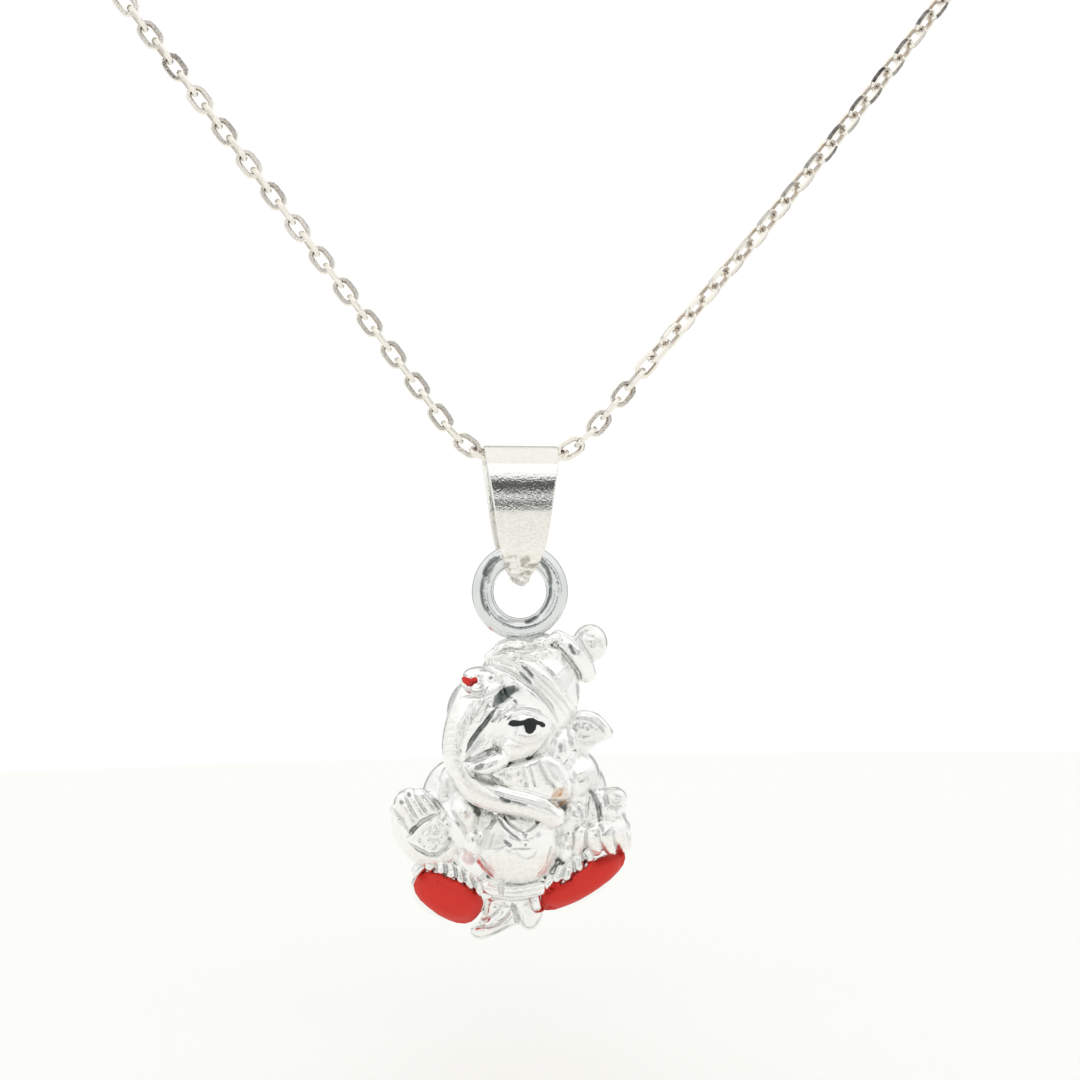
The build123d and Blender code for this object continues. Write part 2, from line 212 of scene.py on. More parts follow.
# %% The surface of silver as a node group
Fit = namedtuple("Fit", "low high to_low to_high")
mix_sockets = {"FLOAT": (2, 0), "RGBA": (6, 2)}
grain_detail = 3
cloud_scale = 700
cloud_detail = 2
spot_scale = 2600
spot_detail = 4
cloudy_roughness = Fit(0.35, 0.7, 0.75, 1.35)
speckled_frost = Fit(0.35, 0.6, 0.12, 0.0)
spotted_dark = Fit(0.3, 0.6, 0.75, 1.0)
spotted_amber = Fit(0.44, 0.58, 0.25, 1.0)
spotted_red = Fit(0.32, 0.52, 0.45, 1.0)
amber_color = (0.56, 0.25, 0.06, 1)
red_color = (0.62, 0.06, 0.045, 1)
stain_roughness = 0.6
frosted_grain = 3
grain_distance = 0.1 * millimetre


def add_node(tree, kind, **values):
    node = tree.nodes.new(kind)
    for key, value in values.items():
        setattr(node, key, value)
    return node


def feed(tree, socket, value):
    """Link another node's output to a socket, or set the socket to a constant."""
    if isinstance(value, bpy.types.NodeSocket):
        tree.links.new(value, socket)
    else:
        socket.default_value = value


def math_node(tree, operation, *values):
    node = add_node(tree, "ShaderNodeMath", operation=operation)
    for socket, value in zip(node.inputs, values):
        feed(tree, socket, value)
    return node.outputs[0]


def noise_node(tree, place, scale, detail):
    node = add_node(tree, "ShaderNodeTexNoise")
    for name, value in (("Vector", place), ("Scale", scale), ("Detail", detail)):
        feed(tree, node.inputs[name], value)
    return node.outputs["Fac"]


def fit_node(tree, value, fit, **settings):
    """A value brought from one range to another."""
    node = add_node(tree, "ShaderNodeMapRange", **settings)
    for socket, number in zip(node.inputs, (value, *fit)):
        feed(tree, socket, number)
    return node.outputs["Result"]


def mix_node(tree, kind, factor, first, second):
    """Two numbers or two colours blended by a factor."""
    node = add_node(tree, "ShaderNodeMix", data_type=kind)
    start, result = mix_sockets[kind]
    for index, value in ((0, factor), (start, first), (start + 1, second)):
        feed(tree, node.inputs[index], value)
    return node.outputs[result]


def bump_node(tree, height, distance, strength):
    node = add_node(tree, "ShaderNodeBump")
    for name, value in (("Height", height), ("Distance", distance), ("Strength", strength)):
        feed(tree, node.inputs[name], value)
    return node.outputs["Normal"]


def silver_surface_group():
    group = bpy.data.node_groups.new("silver_surface", "ShaderNodeTree")
    sockets = [
        ("Polished Color", "NodeSocketColor", (0.9, 0.9, 0.9, 1)),
        ("Frosted Color", "NodeSocketColor", (0.8, 0.8, 0.8, 1)),
        ("Frost", "NodeSocketFloat", 0.0),
        ("Dark", "NodeSocketFloat", 0.0),
        ("Dark Color", "NodeSocketColor", (0.1, 0.1, 0.1, 1)),
        ("Red", "NodeSocketFloat", 0.0),
        ("Amber", "NodeSocketFloat", 0.0),
        ("Grain Scale", "NodeSocketFloat", 5000.0),
        ("Grain Height", "NodeSocketFloat", 0.1),
        ("Polished Roughness", "NodeSocketFloat", 0.1),
        ("Frosted Roughness", "NodeSocketFloat", 0.4),
    ]
    for name, kind, value in sockets:
        group.interface.new_socket(name, in_out="INPUT", socket_type=kind).default_value = value
    for name, kind in (("Color", "NodeSocketColor"), ("Metallic", "NodeSocketFloat"),
                       ("Roughness", "NodeSocketFloat"), ("Normal", "NodeSocketVector")):
        group.interface.new_socket(name, in_out="OUTPUT", socket_type=kind)
    given = add_node(group, "NodeGroupInput").outputs
    result = add_node(group, "NodeGroupOutput").inputs
    place = add_node(group, "ShaderNodeTexCoord").outputs["Object"]
    grain = noise_node(group, place, given["Grain Scale"], grain_detail)
    clouds = noise_node(group, place, cloud_scale, cloud_detail)
    spots = noise_node(group, place, spot_scale, spot_detail)

    def uneven(mask, noise, fit):
        return math_node(group, "MULTIPLY", given[mask], fit_node(group, noise, fit))

    # The dark mask holds darker places of several kinds: dirt and tarnish, and also painted shade and
    # painted dark reflections.
    dark = math_node(group, "MAXIMUM", uneven("Dark", spots, spotted_dark),
                     uneven("Frost", grain, speckled_frost))
    amber = uneven("Amber", spots, spotted_amber)
    red = uneven("Red", spots, spotted_red)
    stain_and_shade = math_node(group, "MAXIMUM", red, amber)

    rough = mix_node(group, "FLOAT", given["Frost"], given["Polished Roughness"],
                     given["Frosted Roughness"])
    rough = math_node(group, "MULTIPLY", rough, fit_node(group, clouds, cloudy_roughness))
    rough = mix_node(group, "FLOAT", stain_and_shade, rough, stain_roughness)
    tint = mix_node(group, "RGBA", given["Frost"], given["Polished Color"], given["Frosted Color"])
    for mask, color in ((dark, given["Dark Color"]), (amber, amber_color), (red, red_color)):
        tint = mix_node(group, "RGBA", mask, tint, color)
    strength = math_node(group, "MULTIPLY_ADD", given["Frost"], frosted_grain, 1)
    height = math_node(group, "MULTIPLY", given["Grain Height"], strength)
    height = math_node(group, "MULTIPLY", grain, height)
    for name, value in (("Color", tint), ("Metallic", math_node(group, "SUBTRACT", 1.0, stain_and_shade)),
                        ("Roughness", rough), ("Normal", bump_node(group, height, grain_distance, 1))):
        group.links.new(value, result[name])
    return group


silver_surface = silver_surface_group()
print("node group", silver_surface.name)

# %% [markdown]
# The chain is warm and a little dull, the bail's sheet is brushed or bright, the ring is darker and
# the casting is the whitest. Each gets its own colours and grain, and reads only the masks that its
# pieces have. Red is stray enamel. Amber is old polish left in the corners, and on the chain it also
# tints the tarnish and painted shade inside the links.

# %% Silver materials
def silver(name, polished, frosted, dark, grain_scale, grain_height, shine, frost_shine, masks):
    """A silver whose frosted, dark and coloured places follow the named attributes of its mesh."""
    material = bpy.data.materials.new(name)
    material.use_nodes = True
    tree = material.node_tree
    shader = tree.nodes["Principled BSDF"]
    surface = add_node(tree, "ShaderNodeGroup", node_tree=silver_surface)
    values = {
        "Polished Color": (*polished, 1),
        "Frosted Color": (*frosted, 1),
        "Dark Color": (*dark, 1),
        "Grain Scale": grain_scale,
        "Grain Height": grain_height,
        "Polished Roughness": shine,
        "Frosted Roughness": frost_shine,
    }
    for socket, value in values.items():
        surface.inputs[socket].default_value = value
    for mask in masks:
        attribute = add_node(tree, "ShaderNodeAttribute", attribute_name=mask.lower())
        tree.links.new(attribute.outputs["Fac"], surface.inputs[mask])
    for given, wanted in (("Color", "Base Color"), ("Metallic", "Metallic"),
                          ("Roughness", "Roughness"), ("Normal", "Normal")):
        tree.links.new(surface.outputs[given], shader.inputs[wanted])
    return material


green_black = (0.075, 0.095, 0.09)
chain_silver = silver(
    "chain_silver", polished=(0.9, 0.865, 0.8), frosted=(0.8, 0.76, 0.7), dark=(0.055, 0.05, 0.05),
    grain_scale=6000, grain_height=0.1, shine=0.2, frost_shine=0.3, masks=("Dark", "Amber"))
bail_silver = silver(
    "bail_silver", polished=(0.92, 0.93, 0.9), frosted=(0.97, 0.955, 0.905), dark=(0.2, 0.16, 0.1),
    grain_scale=7000, grain_height=0.1, shine=0.08, frost_shine=0.42, masks=("Frost", "Dark"))
ring_silver = silver(
    "ring_silver", polished=(0.75, 0.77, 0.77), frosted=(0.8, 0.8, 0.78), dark=green_black,
    grain_scale=5000, grain_height=0.12, shine=0.12, frost_shine=0.4, masks=("Frost", "Dark", "Red"))
figure_silver = silver(
    "figure_silver", polished=(0.95, 0.955, 0.94), frosted=(0.96, 0.945, 0.905), dark=green_black,
    grain_scale=5200, grain_height=0.14, shine=0.22, frost_shine=0.37,
    masks=("Frost", "Dark", "Red", "Amber"))
print("silvers for the chain, the bail, the ring and the figure")

# %% [markdown]
# The chain is a cable chain: plain oval links, each standing across the one before. It could be
# an array along a curve, but then the links can't turn as they do here, where the right side of
# the chain has twisted by an eighth of a turn. So one curve gives the line, each link's place is
# measured along it, and one small link is laid at every place.

# %% The chain's line
clasp_low, clasp_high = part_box("clasp")
nape = (clasp_low + clasp_high) / 2 - hinges["bail_swing"]
nape = nape / millimetre
clasp_reach = (clasp_high.x - clasp_low.x) / 2 / millimetre
line_steps = 80
chain_route = [
    nape - Vector((clasp_reach, 0, 0)),
    Vector((-22, 102.5, 104)),
    Vector((-48, 82, 101)),
    Vector((-60, 49, 92)),
    Vector((-56, 14, 74)),
    Vector((-36.6, 0, 43.9)),
    Vector((-20, 0, 22.5)),
    Vector((-6.3, 0, 4.6)),
    Vector((-2.9, 0, 0)),
    Vector((2.9, 0, 0)),
    Vector((6.5, 0, 4.4)),
    Vector((19.5, 0, 19.6)),
    Vector((38.6, 0, 44.8)),
    Vector((57, 14, 73)),
    Vector((60, 48, 92)),
    Vector((48, 81, 101)),
    Vector((22, 102, 104)),
    nape + Vector((clasp_reach, 0, 0)),
]

chain_line = corners_of(evaluated(smooth_curve("chain_line", chain_route, line_steps), "chain_line"))
chain_along = np.concatenate([[0], np.cumsum(np.linalg.norm(np.diff(chain_line, axis=0), axis=1))])
chain_length = chain_along[-1]
bail_along = chain_along[np.argmin(np.linalg.norm(chain_line, axis=1))]
print("chain", round(chain_length, 1), "mm long, its bail at", round(bail_along, 1), "mm")

# %% [markdown]
# One link is a wire of six flats bent into an oval. Spinning the wire's section half a turn makes
# an end, and the two straight sides close it. The wire lies with one flat outwards, as the cutter
# leaves it, and the outer flats are pressed level, which gives the chain its sparkle.

# %% One link
link_length = 1.9
link_width = 1.28
link_wire = 0.35
link_pitch = 1.18
link_flank = 0.61
link_end_steps = 6
wire_sides = 6


def make_link():
    bm = bmesh.new()
    end_radius = (link_width - link_wire) / 2
    straight = (link_length - link_width) / 2
    section = Matrix.Translation((straight, end_radius, 0)) @ Matrix.Rotation(math.pi / 2, 4, "Y")
    wire = bmesh.ops.create_circle(
        bm, cap_ends=False, segments=wire_sides, radius=link_wire / 2, matrix=section)["verts"]
    start = edges_at(wire)
    spun = bmesh.ops.spin(
        bm, geom=wire + start, cent=(straight, 0, 0), axis=(0, 0, -1), angle=math.pi,
        steps=link_end_steps, use_merge=False)["geom_last"]
    side = bmesh.ops.extrude_edge_only(bm, edges=only(bmesh.types.BMEdge, spun))["geom"]
    corners = only(bmesh.types.BMVert, side)
    bmesh.ops.translate(bm, verts=corners, vec=(-2 * straight, 0, 0))
    other = bmesh.ops.spin(
        bm, geom=corners + only(bmesh.types.BMEdge, side), cent=(-straight, 0, 0),
        axis=(0, 0, -1), angle=math.pi, steps=link_end_steps, use_merge=False)["geom_last"]
    bmesh.ops.bridge_loops(bm, edges=only(bmesh.types.BMEdge, other) + start)
    for corner in bm.verts:
        corner.co.y = max(-link_flank, min(link_flank, corner.co.y))
    bmesh.ops.recalc_face_normals(bm, faces=bm.faces)
    return mesh_of(bm, "link")


link = make_link()
print("one link", len(link.vertices), "corners", len(link.polygons), "faces")

# %% [markdown]
# The faces inside a link are darkened and tinted brown, partly by tarnish where the wheel never
# polishes and partly by painted shade where the links cover each other. The cut flats on the flanks
# are mirrors, and on the right of the bail a dark reflection is painted on them. Both are values of
# whole faces, because the flats are crisp.

# %% Tones of a link's faces
side_tarnish_and_shade = 0.42
end_tarnish_and_shade = 0.4
brown_share = 0.7
outer_flat = 0.9
flat_reach = 0.2


def link_tones(mesh):
    """For each face of the link: how tarnished it is, with painted shade as well, and whether it is a
    cut flat.
    """
    straight = (link_length - link_width) / 2
    tarnish_and_shade, flats = [], []
    for face in mesh.polygons:
        middle = face.center
        spoke = Vector((middle.x - max(-straight, min(straight, middle.x)), middle.y, 0)).normalized()
        outward = face.normal.dot(spoke)
        at_end = abs(middle.x) > straight
        tarnish_and_shade.append(max(0, -outward) * (end_tarnish_and_shade if at_end else side_tarnish_and_shade))
        flats.append(outward > outer_flat and abs(middle.x) < straight + flat_reach)
    return np.array(tarnish_and_shade), np.array(flats, float)


link_tarnish_and_shade, link_flats = link_tones(link)
print("cut flats on a link", int(link_flats.sum()))

# %% [markdown]
# Along the line each link needs a direction that it faces. Starting at the bail and carrying that
# direction along the curve keeps the links from spinning where the chain bends round the neck.
# Every second link gets a quarter turn, and a small uneven turn keeps the row from looking cast.

# %% Lay the links
eighth_turn = math.radians(45)
twist_start = 8.0
twist_end = 13.5
uneven_turn = math.radians(4)
painted_reflection_start = 16.0
painted_reflection_end = 30.0
least_painted_reflection = 0.85
most_painted_reflection = 1.15
left_anchor = 3.4
right_anchor = 3.3
links_in_bail = 5
links_seed = 5


def carried_frames(line, middle):
    """The facing direction at each place of the line, carried outwards from its middle."""
    tangents = np.gradient(line, axis=0)
    tangents /= np.linalg.norm(tangents, axis=1)[:, None]
    facing = np.zeros_like(line)
    start = -np.array(view_forward)
    for places in (range(middle, len(line)), range(middle, -1, -1)):
        carried = start
        for index in places:
            carried = carried - (carried @ tangents[index]) * tangents[index]
            carried = carried / np.linalg.norm(carried)
            facing[index] = carried
    return tangents, facing


def link_places():
    """Each link's distance along the chain and whether it stands across its neighbours.

    Two links beside the bail face the viewer, and the rest are spaced outwards from them."""
    first, last = bail_along - left_anchor, bail_along + right_anchor
    left_count = round(first / link_pitch)
    right_count = round((chain_length - last) / link_pitch)
    left_step = first / (left_count + 0.5)
    right_step = (chain_length - last) / (right_count + 0.5)
    left = [first - index * left_step for index in range(left_count + 1)]
    right = [last + index * right_step for index in range(right_count + 1)]
    inner = [first + (last - first) * (index + 1) / (links_in_bail + 1)
             for index in range(links_in_bail)]
    return ([(place, index % 2) for index, place in enumerate(left)]
            + [(place, (index + 1) % 2) for index, place in enumerate(inner)]
            + [(place, index % 2) for index, place in enumerate(right)])


def twist_at(place):
    """The chain lies on its corner inside the bail, and its right side has turned as far."""
    away = place - bail_along
    if abs(away) < left_anchor:
        return eighth_turn * (1 - (away / left_anchor) ** 2)
    return eighth_turn * between_0_and_1((away - twist_start) / (twist_end - twist_start))


def at_place(place, values):
    """The row of values that belongs to a distance along the chain."""
    return Vector([np.interp(place, chain_along, column) for column in values.T])


def make_chain():
    tangents, facing = carried_frames(chain_line, int(np.argmin(np.abs(chain_along - bail_along))))
    chance = np.random.default_rng(links_seed)
    bm = bmesh.new()
    dark, brown = [], []
    for place, across in link_places():
        along = at_place(place, tangents).normalized()
        front = at_place(place, facing).normalized()
        turn = twist_at(place) + across * math.pi / 2
        turn += chance.uniform(-uneven_turn, uneven_turn)
        axes = Matrix((along, front.cross(along), front)).transposed().to_4x4()
        before = len(bm.verts)
        bm.from_mesh(link)
        bm.verts.ensure_lookup_table()
        middle = Matrix.Translation(at_place(place, chain_line))
        bmesh.ops.transform(bm, verts=bm.verts[before:],
                            matrix=middle @ axes @ Matrix.Rotation(turn, 4, "X"))
        # On the right of the bail a dark reflection is painted on the cut flats. It grows along the
        # chain and varies from link to link.
        painted_reflection = (place - bail_along - painted_reflection_start) / (painted_reflection_end - painted_reflection_start)
        painted_reflection = between_0_and_1(painted_reflection) * chance.uniform(0.0 if across else least_painted_reflection, most_painted_reflection)
        # A face is darkened by its tarnish and painted shade, or by the painted reflection on a cut
        # flat, and the brown tint follows the tarnish and painted shade.
        dark.append(np.maximum(link_tarnish_and_shade, link_flats * min(1, painted_reflection)))
        brown.append(link_tarnish_and_shade * brown_share)
    mesh = mesh_of(bm, "chain_links")
    for name, tones in (("dark", dark), ("amber", brown)):
        keep_mask(mesh, name, np.concatenate(tones), "FACE")
    return finished("chain_links", mesh, "chain_and_clasp", chain_silver, "chain",
                    smooth=False)


make_chain()

# %% [markdown]
# The clasp is hidden behind the neck, so the frame's plain barrel stays and only gets its silver.

# %% Clasp
clasp = frame["nodes"]["clasp"]
clasp.data.materials.clear()
clasp.data.materials.append(chain_silver)
print("clasp keeps its own mesh")

# %% [markdown]
# The bail is a tapered strip of silver sheet, rolled over the chain, with its two ends closed
# under the pendant's ring and soldered to a point. It could be cut from a loft, but a rolled
# strip is how it is made: a short edge is extruded along the side view of the roll, gets its
# width at each height, and only then its thickness and its rubbed edges.

# %% Bail's strip
strip_thickness = 0.38
strip_rub = 0.07
strip_corner = math.radians(60)
strip_cuts = 3
strip_smoothing = 3
strip_narrowest_cut = 0.2
Roll = namedtuple("Roll", "up out width")
roll = [
    Roll(0.96, 0.0, 4.5),
    Roll(0.93, 0.3, 4.5),
    Roll(0.78, 0.68, 4.5),
    Roll(0.45, 1.06, 4.48),
    Roll(0.0, 1.36, 4.42),
    Roll(-0.5, 1.55, 4.28),
    Roll(-1.16, 1.72, 4.06),
    Roll(-2.0, 1.83, 3.8),
    Roll(-3.0, 1.87, 3.5),
    Roll(-4.1, 1.77, 3.2),
    Roll(-5.0, 1.68, 2.9),
    Roll(-5.6, 1.56, 2.56),
    Roll(-6.1, 1.37, 2.1),
    Roll(-6.6, 1.07, 1.55),
    Roll(-7.1, 0.7, 0.95),
    Roll(-7.5, 0.34, 0.5),
]
brushed_below = -2.95
brushed_above = -0.25
brushed_edge = 0.12
top_frost = 0.6
top_darkening = 0.17
solder_line = -5.45
solder_fade = 0.5
solder_roughness = 0.07
solder_swell = 0.4
solder_darkening = 0.6
darker_below = 0.25


def make_strip():
    """The rolled strip as a sheet without thickness, from its front end over the top to its back."""
    path = [(-row.out, row.up, row.width) for row in reversed(roll)]
    path += [(row.out, row.up, row.width) for row in roll[1:]]
    bm = bmesh.new()
    ends = [bm.verts.new((side, 0, 0)) for side in (-0.5, 0.5)]
    edge = bm.edges.new(ends)
    rows = [ends]
    for _ in path[1:]:
        grown = bmesh.ops.extrude_edge_only(bm, edges=[edge])["geom"]
        edge = next(item for item in only(bmesh.types.BMEdge, grown)
                    if all(corner in grown for corner in item.verts)
                    and not any(corner in rows[-1] for corner in item.verts))
        rows.append(list(edge.verts))
    for row, (out, up, width) in zip(rows, path):
        for corner in row:
            corner.co = Vector((corner.co.x * width, out, up))
    crossing = [item for item in bm.edges
                if abs(item.verts[0].co.x - item.verts[1].co.x) > strip_narrowest_cut]
    bmesh.ops.subdivide_edges(bm, edges=crossing, cuts=strip_cuts, use_grid_fill=True)
    bmesh.ops.recalc_face_normals(bm, faces=bm.faces)
    middle = min(bm.faces, key=lambda face: face.calc_center_median().y)
    if middle.normal.y > 0:
        bmesh.ops.reverse_faces(bm, faces=bm.faces)
    return mesh_of(bm, "strip")


strip = evaluated(make_strip(), "bail_strap", [
    ("SOLIDIFY", {"thickness": strip_thickness, "offset": -1, "use_even_offset": True}),
    ("BEVEL", {"width": strip_rub, "segments": 2, "profile": 0.5, "limit_method": "ANGLE",
               "angle_limit": strip_corner}),
    ("SUBSURF", {"levels": strip_smoothing, "render_levels": strip_smoothing}),
])
print("strip", len(strip.vertices), "corners")

# %% [markdown]
# Solder and cast silver both have small dents that no even noise gives, so they share one: a
# number drawn for each cell of a grid from its place alone, and blended between the cells. It
# comes out the same in every run.

# %% Lumpy surfaces
cell_mix = np.array([12.9898, 78.233, 37.719])
cell_spread = 43758.5453
Grain = namedtuple("Grain", "spacing shift fine_spacing fine_shift fine_share")
tip_grain = Grain(0.3, 0, 0.14, 7, 0.6)
lump_grain = Grain(0.34, 3, 0.15, 0, 0.5)


def smooth_step(value):
    value = np.clip(value, 0, 1)
    return value * value * (3 - 2 * value)


def lumpiness(places, spacing):
    """Small dents and bumps, this far apart in millimetres, from -1 to 1."""
    cells = places / spacing
    corner = np.floor(cells).astype(int)
    part = smooth_step(cells - corner)
    total = np.zeros(len(places))
    for step in np.ndindex(2, 2, 2):
        chance = np.sin((corner + step) @ cell_mix) * cell_spread
        weight = np.prod(np.where(step, part, 1 - part), axis=1)
        total += weight * (2 * (chance - np.floor(chance)) - 1)
    return total


def solder_lumps(places, grain):
    """Coarse lumps with finer ones on them."""
    return (lumpiness(places + grain.shift, grain.spacing)
            + grain.fine_share * lumpiness(places + grain.fine_shift, grain.fine_spacing))


print("lumps at one place", lumpiness(np.zeros((1, 3)), 1).round(3))

# %% [markdown]
# The strip's lower part and its top are left brushed, and the band between is polished, and the top is
# also a little darker in colour. Solder has run over the outside of the tip and set in rough lumps,
# but the inside stays clean, because the ring's wire turns there. The low places between the solder's
# lumps are darker in colour too.

# %% Bail's finish
def brush(mesh):
    height = corners_of(mesh)[:, 2]
    lower = np.clip((brushed_below - height) / brushed_edge, 0, 1)
    upper = np.clip((height - brushed_above) / brushed_edge, 0, 1) * top_frost
    keep_mask(mesh, "frost", np.maximum(lower, upper))


def flow_solder(mesh):
    places = corners_of(mesh)
    normals = normals_of(mesh)
    outside = normals[:, 1] * np.sign(places[:, 1]) > 0
    amount = smooth_step((solder_line - places[:, 2]) / solder_fade) * outside
    lumps = solder_lumps(places, tip_grain)
    places += normals * (amount * solder_roughness * (solder_swell + lumps))[:, None]
    mesh.vertices.foreach_set("co", places.reshape(-1))
    mesh.update()
    # The top of the strip is darkened a little.
    darker_top = top_darkening * smooth_step((places[:, 2] - brushed_above) / brushed_edge)
    # The low places between the solder's lumps are darkened.
    darker_hollows = solder_darkening * amount * smooth_step(darker_below - lumps)
    keep_mask(mesh, "dark", np.maximum(darker_top, darker_hollows))


brush(strip)
flow_solder(strip)
finished("bail_strap", strip, "bail_body", bail_silver, "bail")

# %% [markdown]
# The two ends are closed with a lump of solder, which is left rough. It is a small flattened ball
# between the tips, with lumps of its own moved into it.

# %% Bail's solder
solder_middle = Vector((0, 0, -7.02))
solder_half = Vector((0.6, 0.72, 0.55))
solder_lump = 0.07
solder_subdivisions = 5
frost_below = 0.5


def make_solder():
    bm = bmesh.new()
    bmesh.ops.create_icosphere(bm, subdivisions=solder_subdivisions, radius=1)
    for corner in bm.verts:
        corner.co = solder_middle + Vector([side * half for side, half in zip(corner.co, solder_half)])
    mesh = mesh_of(bm, "bail_solder")
    places = corners_of(mesh)
    lumps = solder_lumps(places, lump_grain)
    places += normals_of(mesh) * (solder_lump * lumps)[:, None]
    mesh.vertices.foreach_set("co", places.reshape(-1))
    keep_mask(mesh, "frost", smooth_step(frost_below - lumps))
    # Its low places are darkened too.
    keep_mask(mesh, "dark", solder_darkening * smooth_step(darker_below - lumps))
    return mesh


finished("bail_solder", make_solder(), "bail_body", bail_silver, "bail")

# %% [markdown]
# The figure was modelled in wax and cast. Wax work goes from large to small, and so does this:
# rounded lumps and long tapering rolls are pressed together first, a voxel remesh makes them one
# skin, and the modelling tool's marks come after. Each form is placed by the pixel where the
# photograph shows it and by its height above the figure's flat back, in millimetres. Its width
# and height are in pixels too, so the list reads like a drawing laid over the photograph. Deep
# lumps are masses of the figure, and their backs reach the flat back as they would in wax that
# was pressed on to glass.

# %% Wax forms
figure_back = 3.3
behind_back = 0.3
wall_draft = 1.6
mass_depth = 1.75
up_axis = Vector((0, 0, 1))
Ball = namedtuple("Ball", "segments rings")
lump_ball = Ball(48, 32)
bead_ball = Ball(24, 16)
roll_steps = 10
roll_roundness = 5
Lump = namedtuple("Lump", "across down out half_across half_down half_out tilt")
Bead = namedtuple("Bead", "across down out radius")


def spot(across, down, out):
    """The place that the photograph shows at a pixel, at a height above the flat back."""
    ray = view_forward + ((across - photo_pixels / 2) * view_right
                          + (photo_pixels / 2 - down) * up_axis) / focal_pixels
    return eye + ray * ((figure_back - out - eye.y) / ray.y)


def pixel_size(out):
    """One pixel in millimetres, at that height."""
    return (spot(photo_pixels / 2 + 1, 0, out) - spot(photo_pixels / 2, 0, out)).length


def draw_back(corner, far, low, high):
    """Move a corner straight away from the viewer, as far as the flat back needs.

    The top of a form also sinks along the line of sight, so that its top wall isn't seen."""
    step = (min(far, figure_back + behind_back) - corner.co.y) / view_forward.y
    slope = (corner.co.z - eye.z) / (corner.co - eye).dot(view_forward)
    share = between_0_and_1((corner.co.z - low) / (high - low))
    corner.co += view_forward * step + up_axis * (slope * share * step)


def press_ball(bm, ball, matrix, radius=1):
    return bmesh.ops.create_uvsphere(
        bm, u_segments=ball.segments, v_segments=ball.rings, radius=radius, matrix=matrix)["verts"]


def press_lump(bm, lump):
    """A rounded lump, its right-hand end raised by the tilt."""
    size = pixel_size(lump.out)
    half = (lump.half_across * size, lump.half_out, lump.half_down * size)
    turn = Matrix.Rotation(-math.radians(lump.tilt), 4, "Y")
    middle = spot(lump.across, lump.down, lump.out)
    made = press_ball(bm, lump_ball, Matrix.Translation(middle) @ turn @ Matrix.Diagonal((*half, 1)))
    draft = max(1, wall_draft * lump.out / lump.half_out)
    for corner in made:
        if corner.co.y > middle.y and lump.half_out > mass_depth:
            draw_back(corner, middle.y + (corner.co.y - middle.y) * draft, middle.z - half[2],
                      middle.z + half[2])


def roll_wax(bm, beads):
    """A roll of wax of round section, laid on along a smooth line."""
    places = [spot(bead.across, bead.down, bead.out) for bead in beads]
    radii = [bead.radius * pixel_size(bead.out) for bead in beads]
    curve = smooth_curve("roll", places, roll_steps)
    curve.bevel_depth = 1
    curve.bevel_resolution = roll_roundness
    curve.use_fill_caps = True
    for control, radius in zip(curve.splines[0].points, radii):
        control.radius = radius
    bm.from_mesh(evaluated(curve, "roll"))
    for end in (0, -1):
        press_ball(bm, bead_ball, Matrix.Translation(places[end]), radii[end])


print("one pixel on the flat back is", round(pixel_size(0), 4), "mm")

# %% [markdown]
# Some forms have an outline that no lump or roll gives, such as an ear or a fold of cloth. They
# are cut from a flat sheet of wax along their outline and domed with the thumb: a fine grid is cut
# to the outline, each corner is raised by how far inside the outline it lies, and the sheet gets
# a thickness that narrows a little towards its back.

# %% Wax reliefs
Relief = namedtuple("Relief", "out crown swell line depth", defaults=(1.4,))
relief_spacing = 1.8
sheet_smoothing = 2
back_taper = 0.93
level_edge = 1e-9


def distance_to_line(across, down, line):
    """Each place's distance from a line, and how far along the line it is from 0 to 1."""
    places = np.array(line, float)
    lengths = np.linalg.norm(np.diff(places, axis=0), axis=1)
    before = np.concatenate([[0], np.cumsum(lengths)])
    nearest = np.full(len(across), np.inf)
    share = np.zeros(len(across))
    for start, run, length, passed in zip(places, np.diff(places, axis=0), lengths, before):
        along = ((across - start[0]) * run[0] + (down - start[1]) * run[1]) / length ** 2
        along = np.clip(along, 0, 1)
        away = np.hypot(across - start[0] - along * run[0], down - start[1] - along * run[1])
        closer = away < nearest
        nearest[closer] = away[closer]
        share[closer] = (passed + along[closer] * length) / before[-1]
    return nearest, share


def inside_outline(across, down, line):
    """How deep each place lies inside an outline, in pixels, negative outside."""
    closed = list(line) + [line[0]]
    nearest, _ = distance_to_line(across, down, closed)
    inside = np.zeros(len(across), bool)
    for (x0, y0), (x1, y1) in zip(closed, closed[1:]):
        crosses = (y0 > down) != (y1 > down)
        inside ^= crosses & (across < (x1 - x0) * (down - y0) / ((y1 - y0) or level_edge) + x0)
    return np.where(inside, nearest, -nearest)


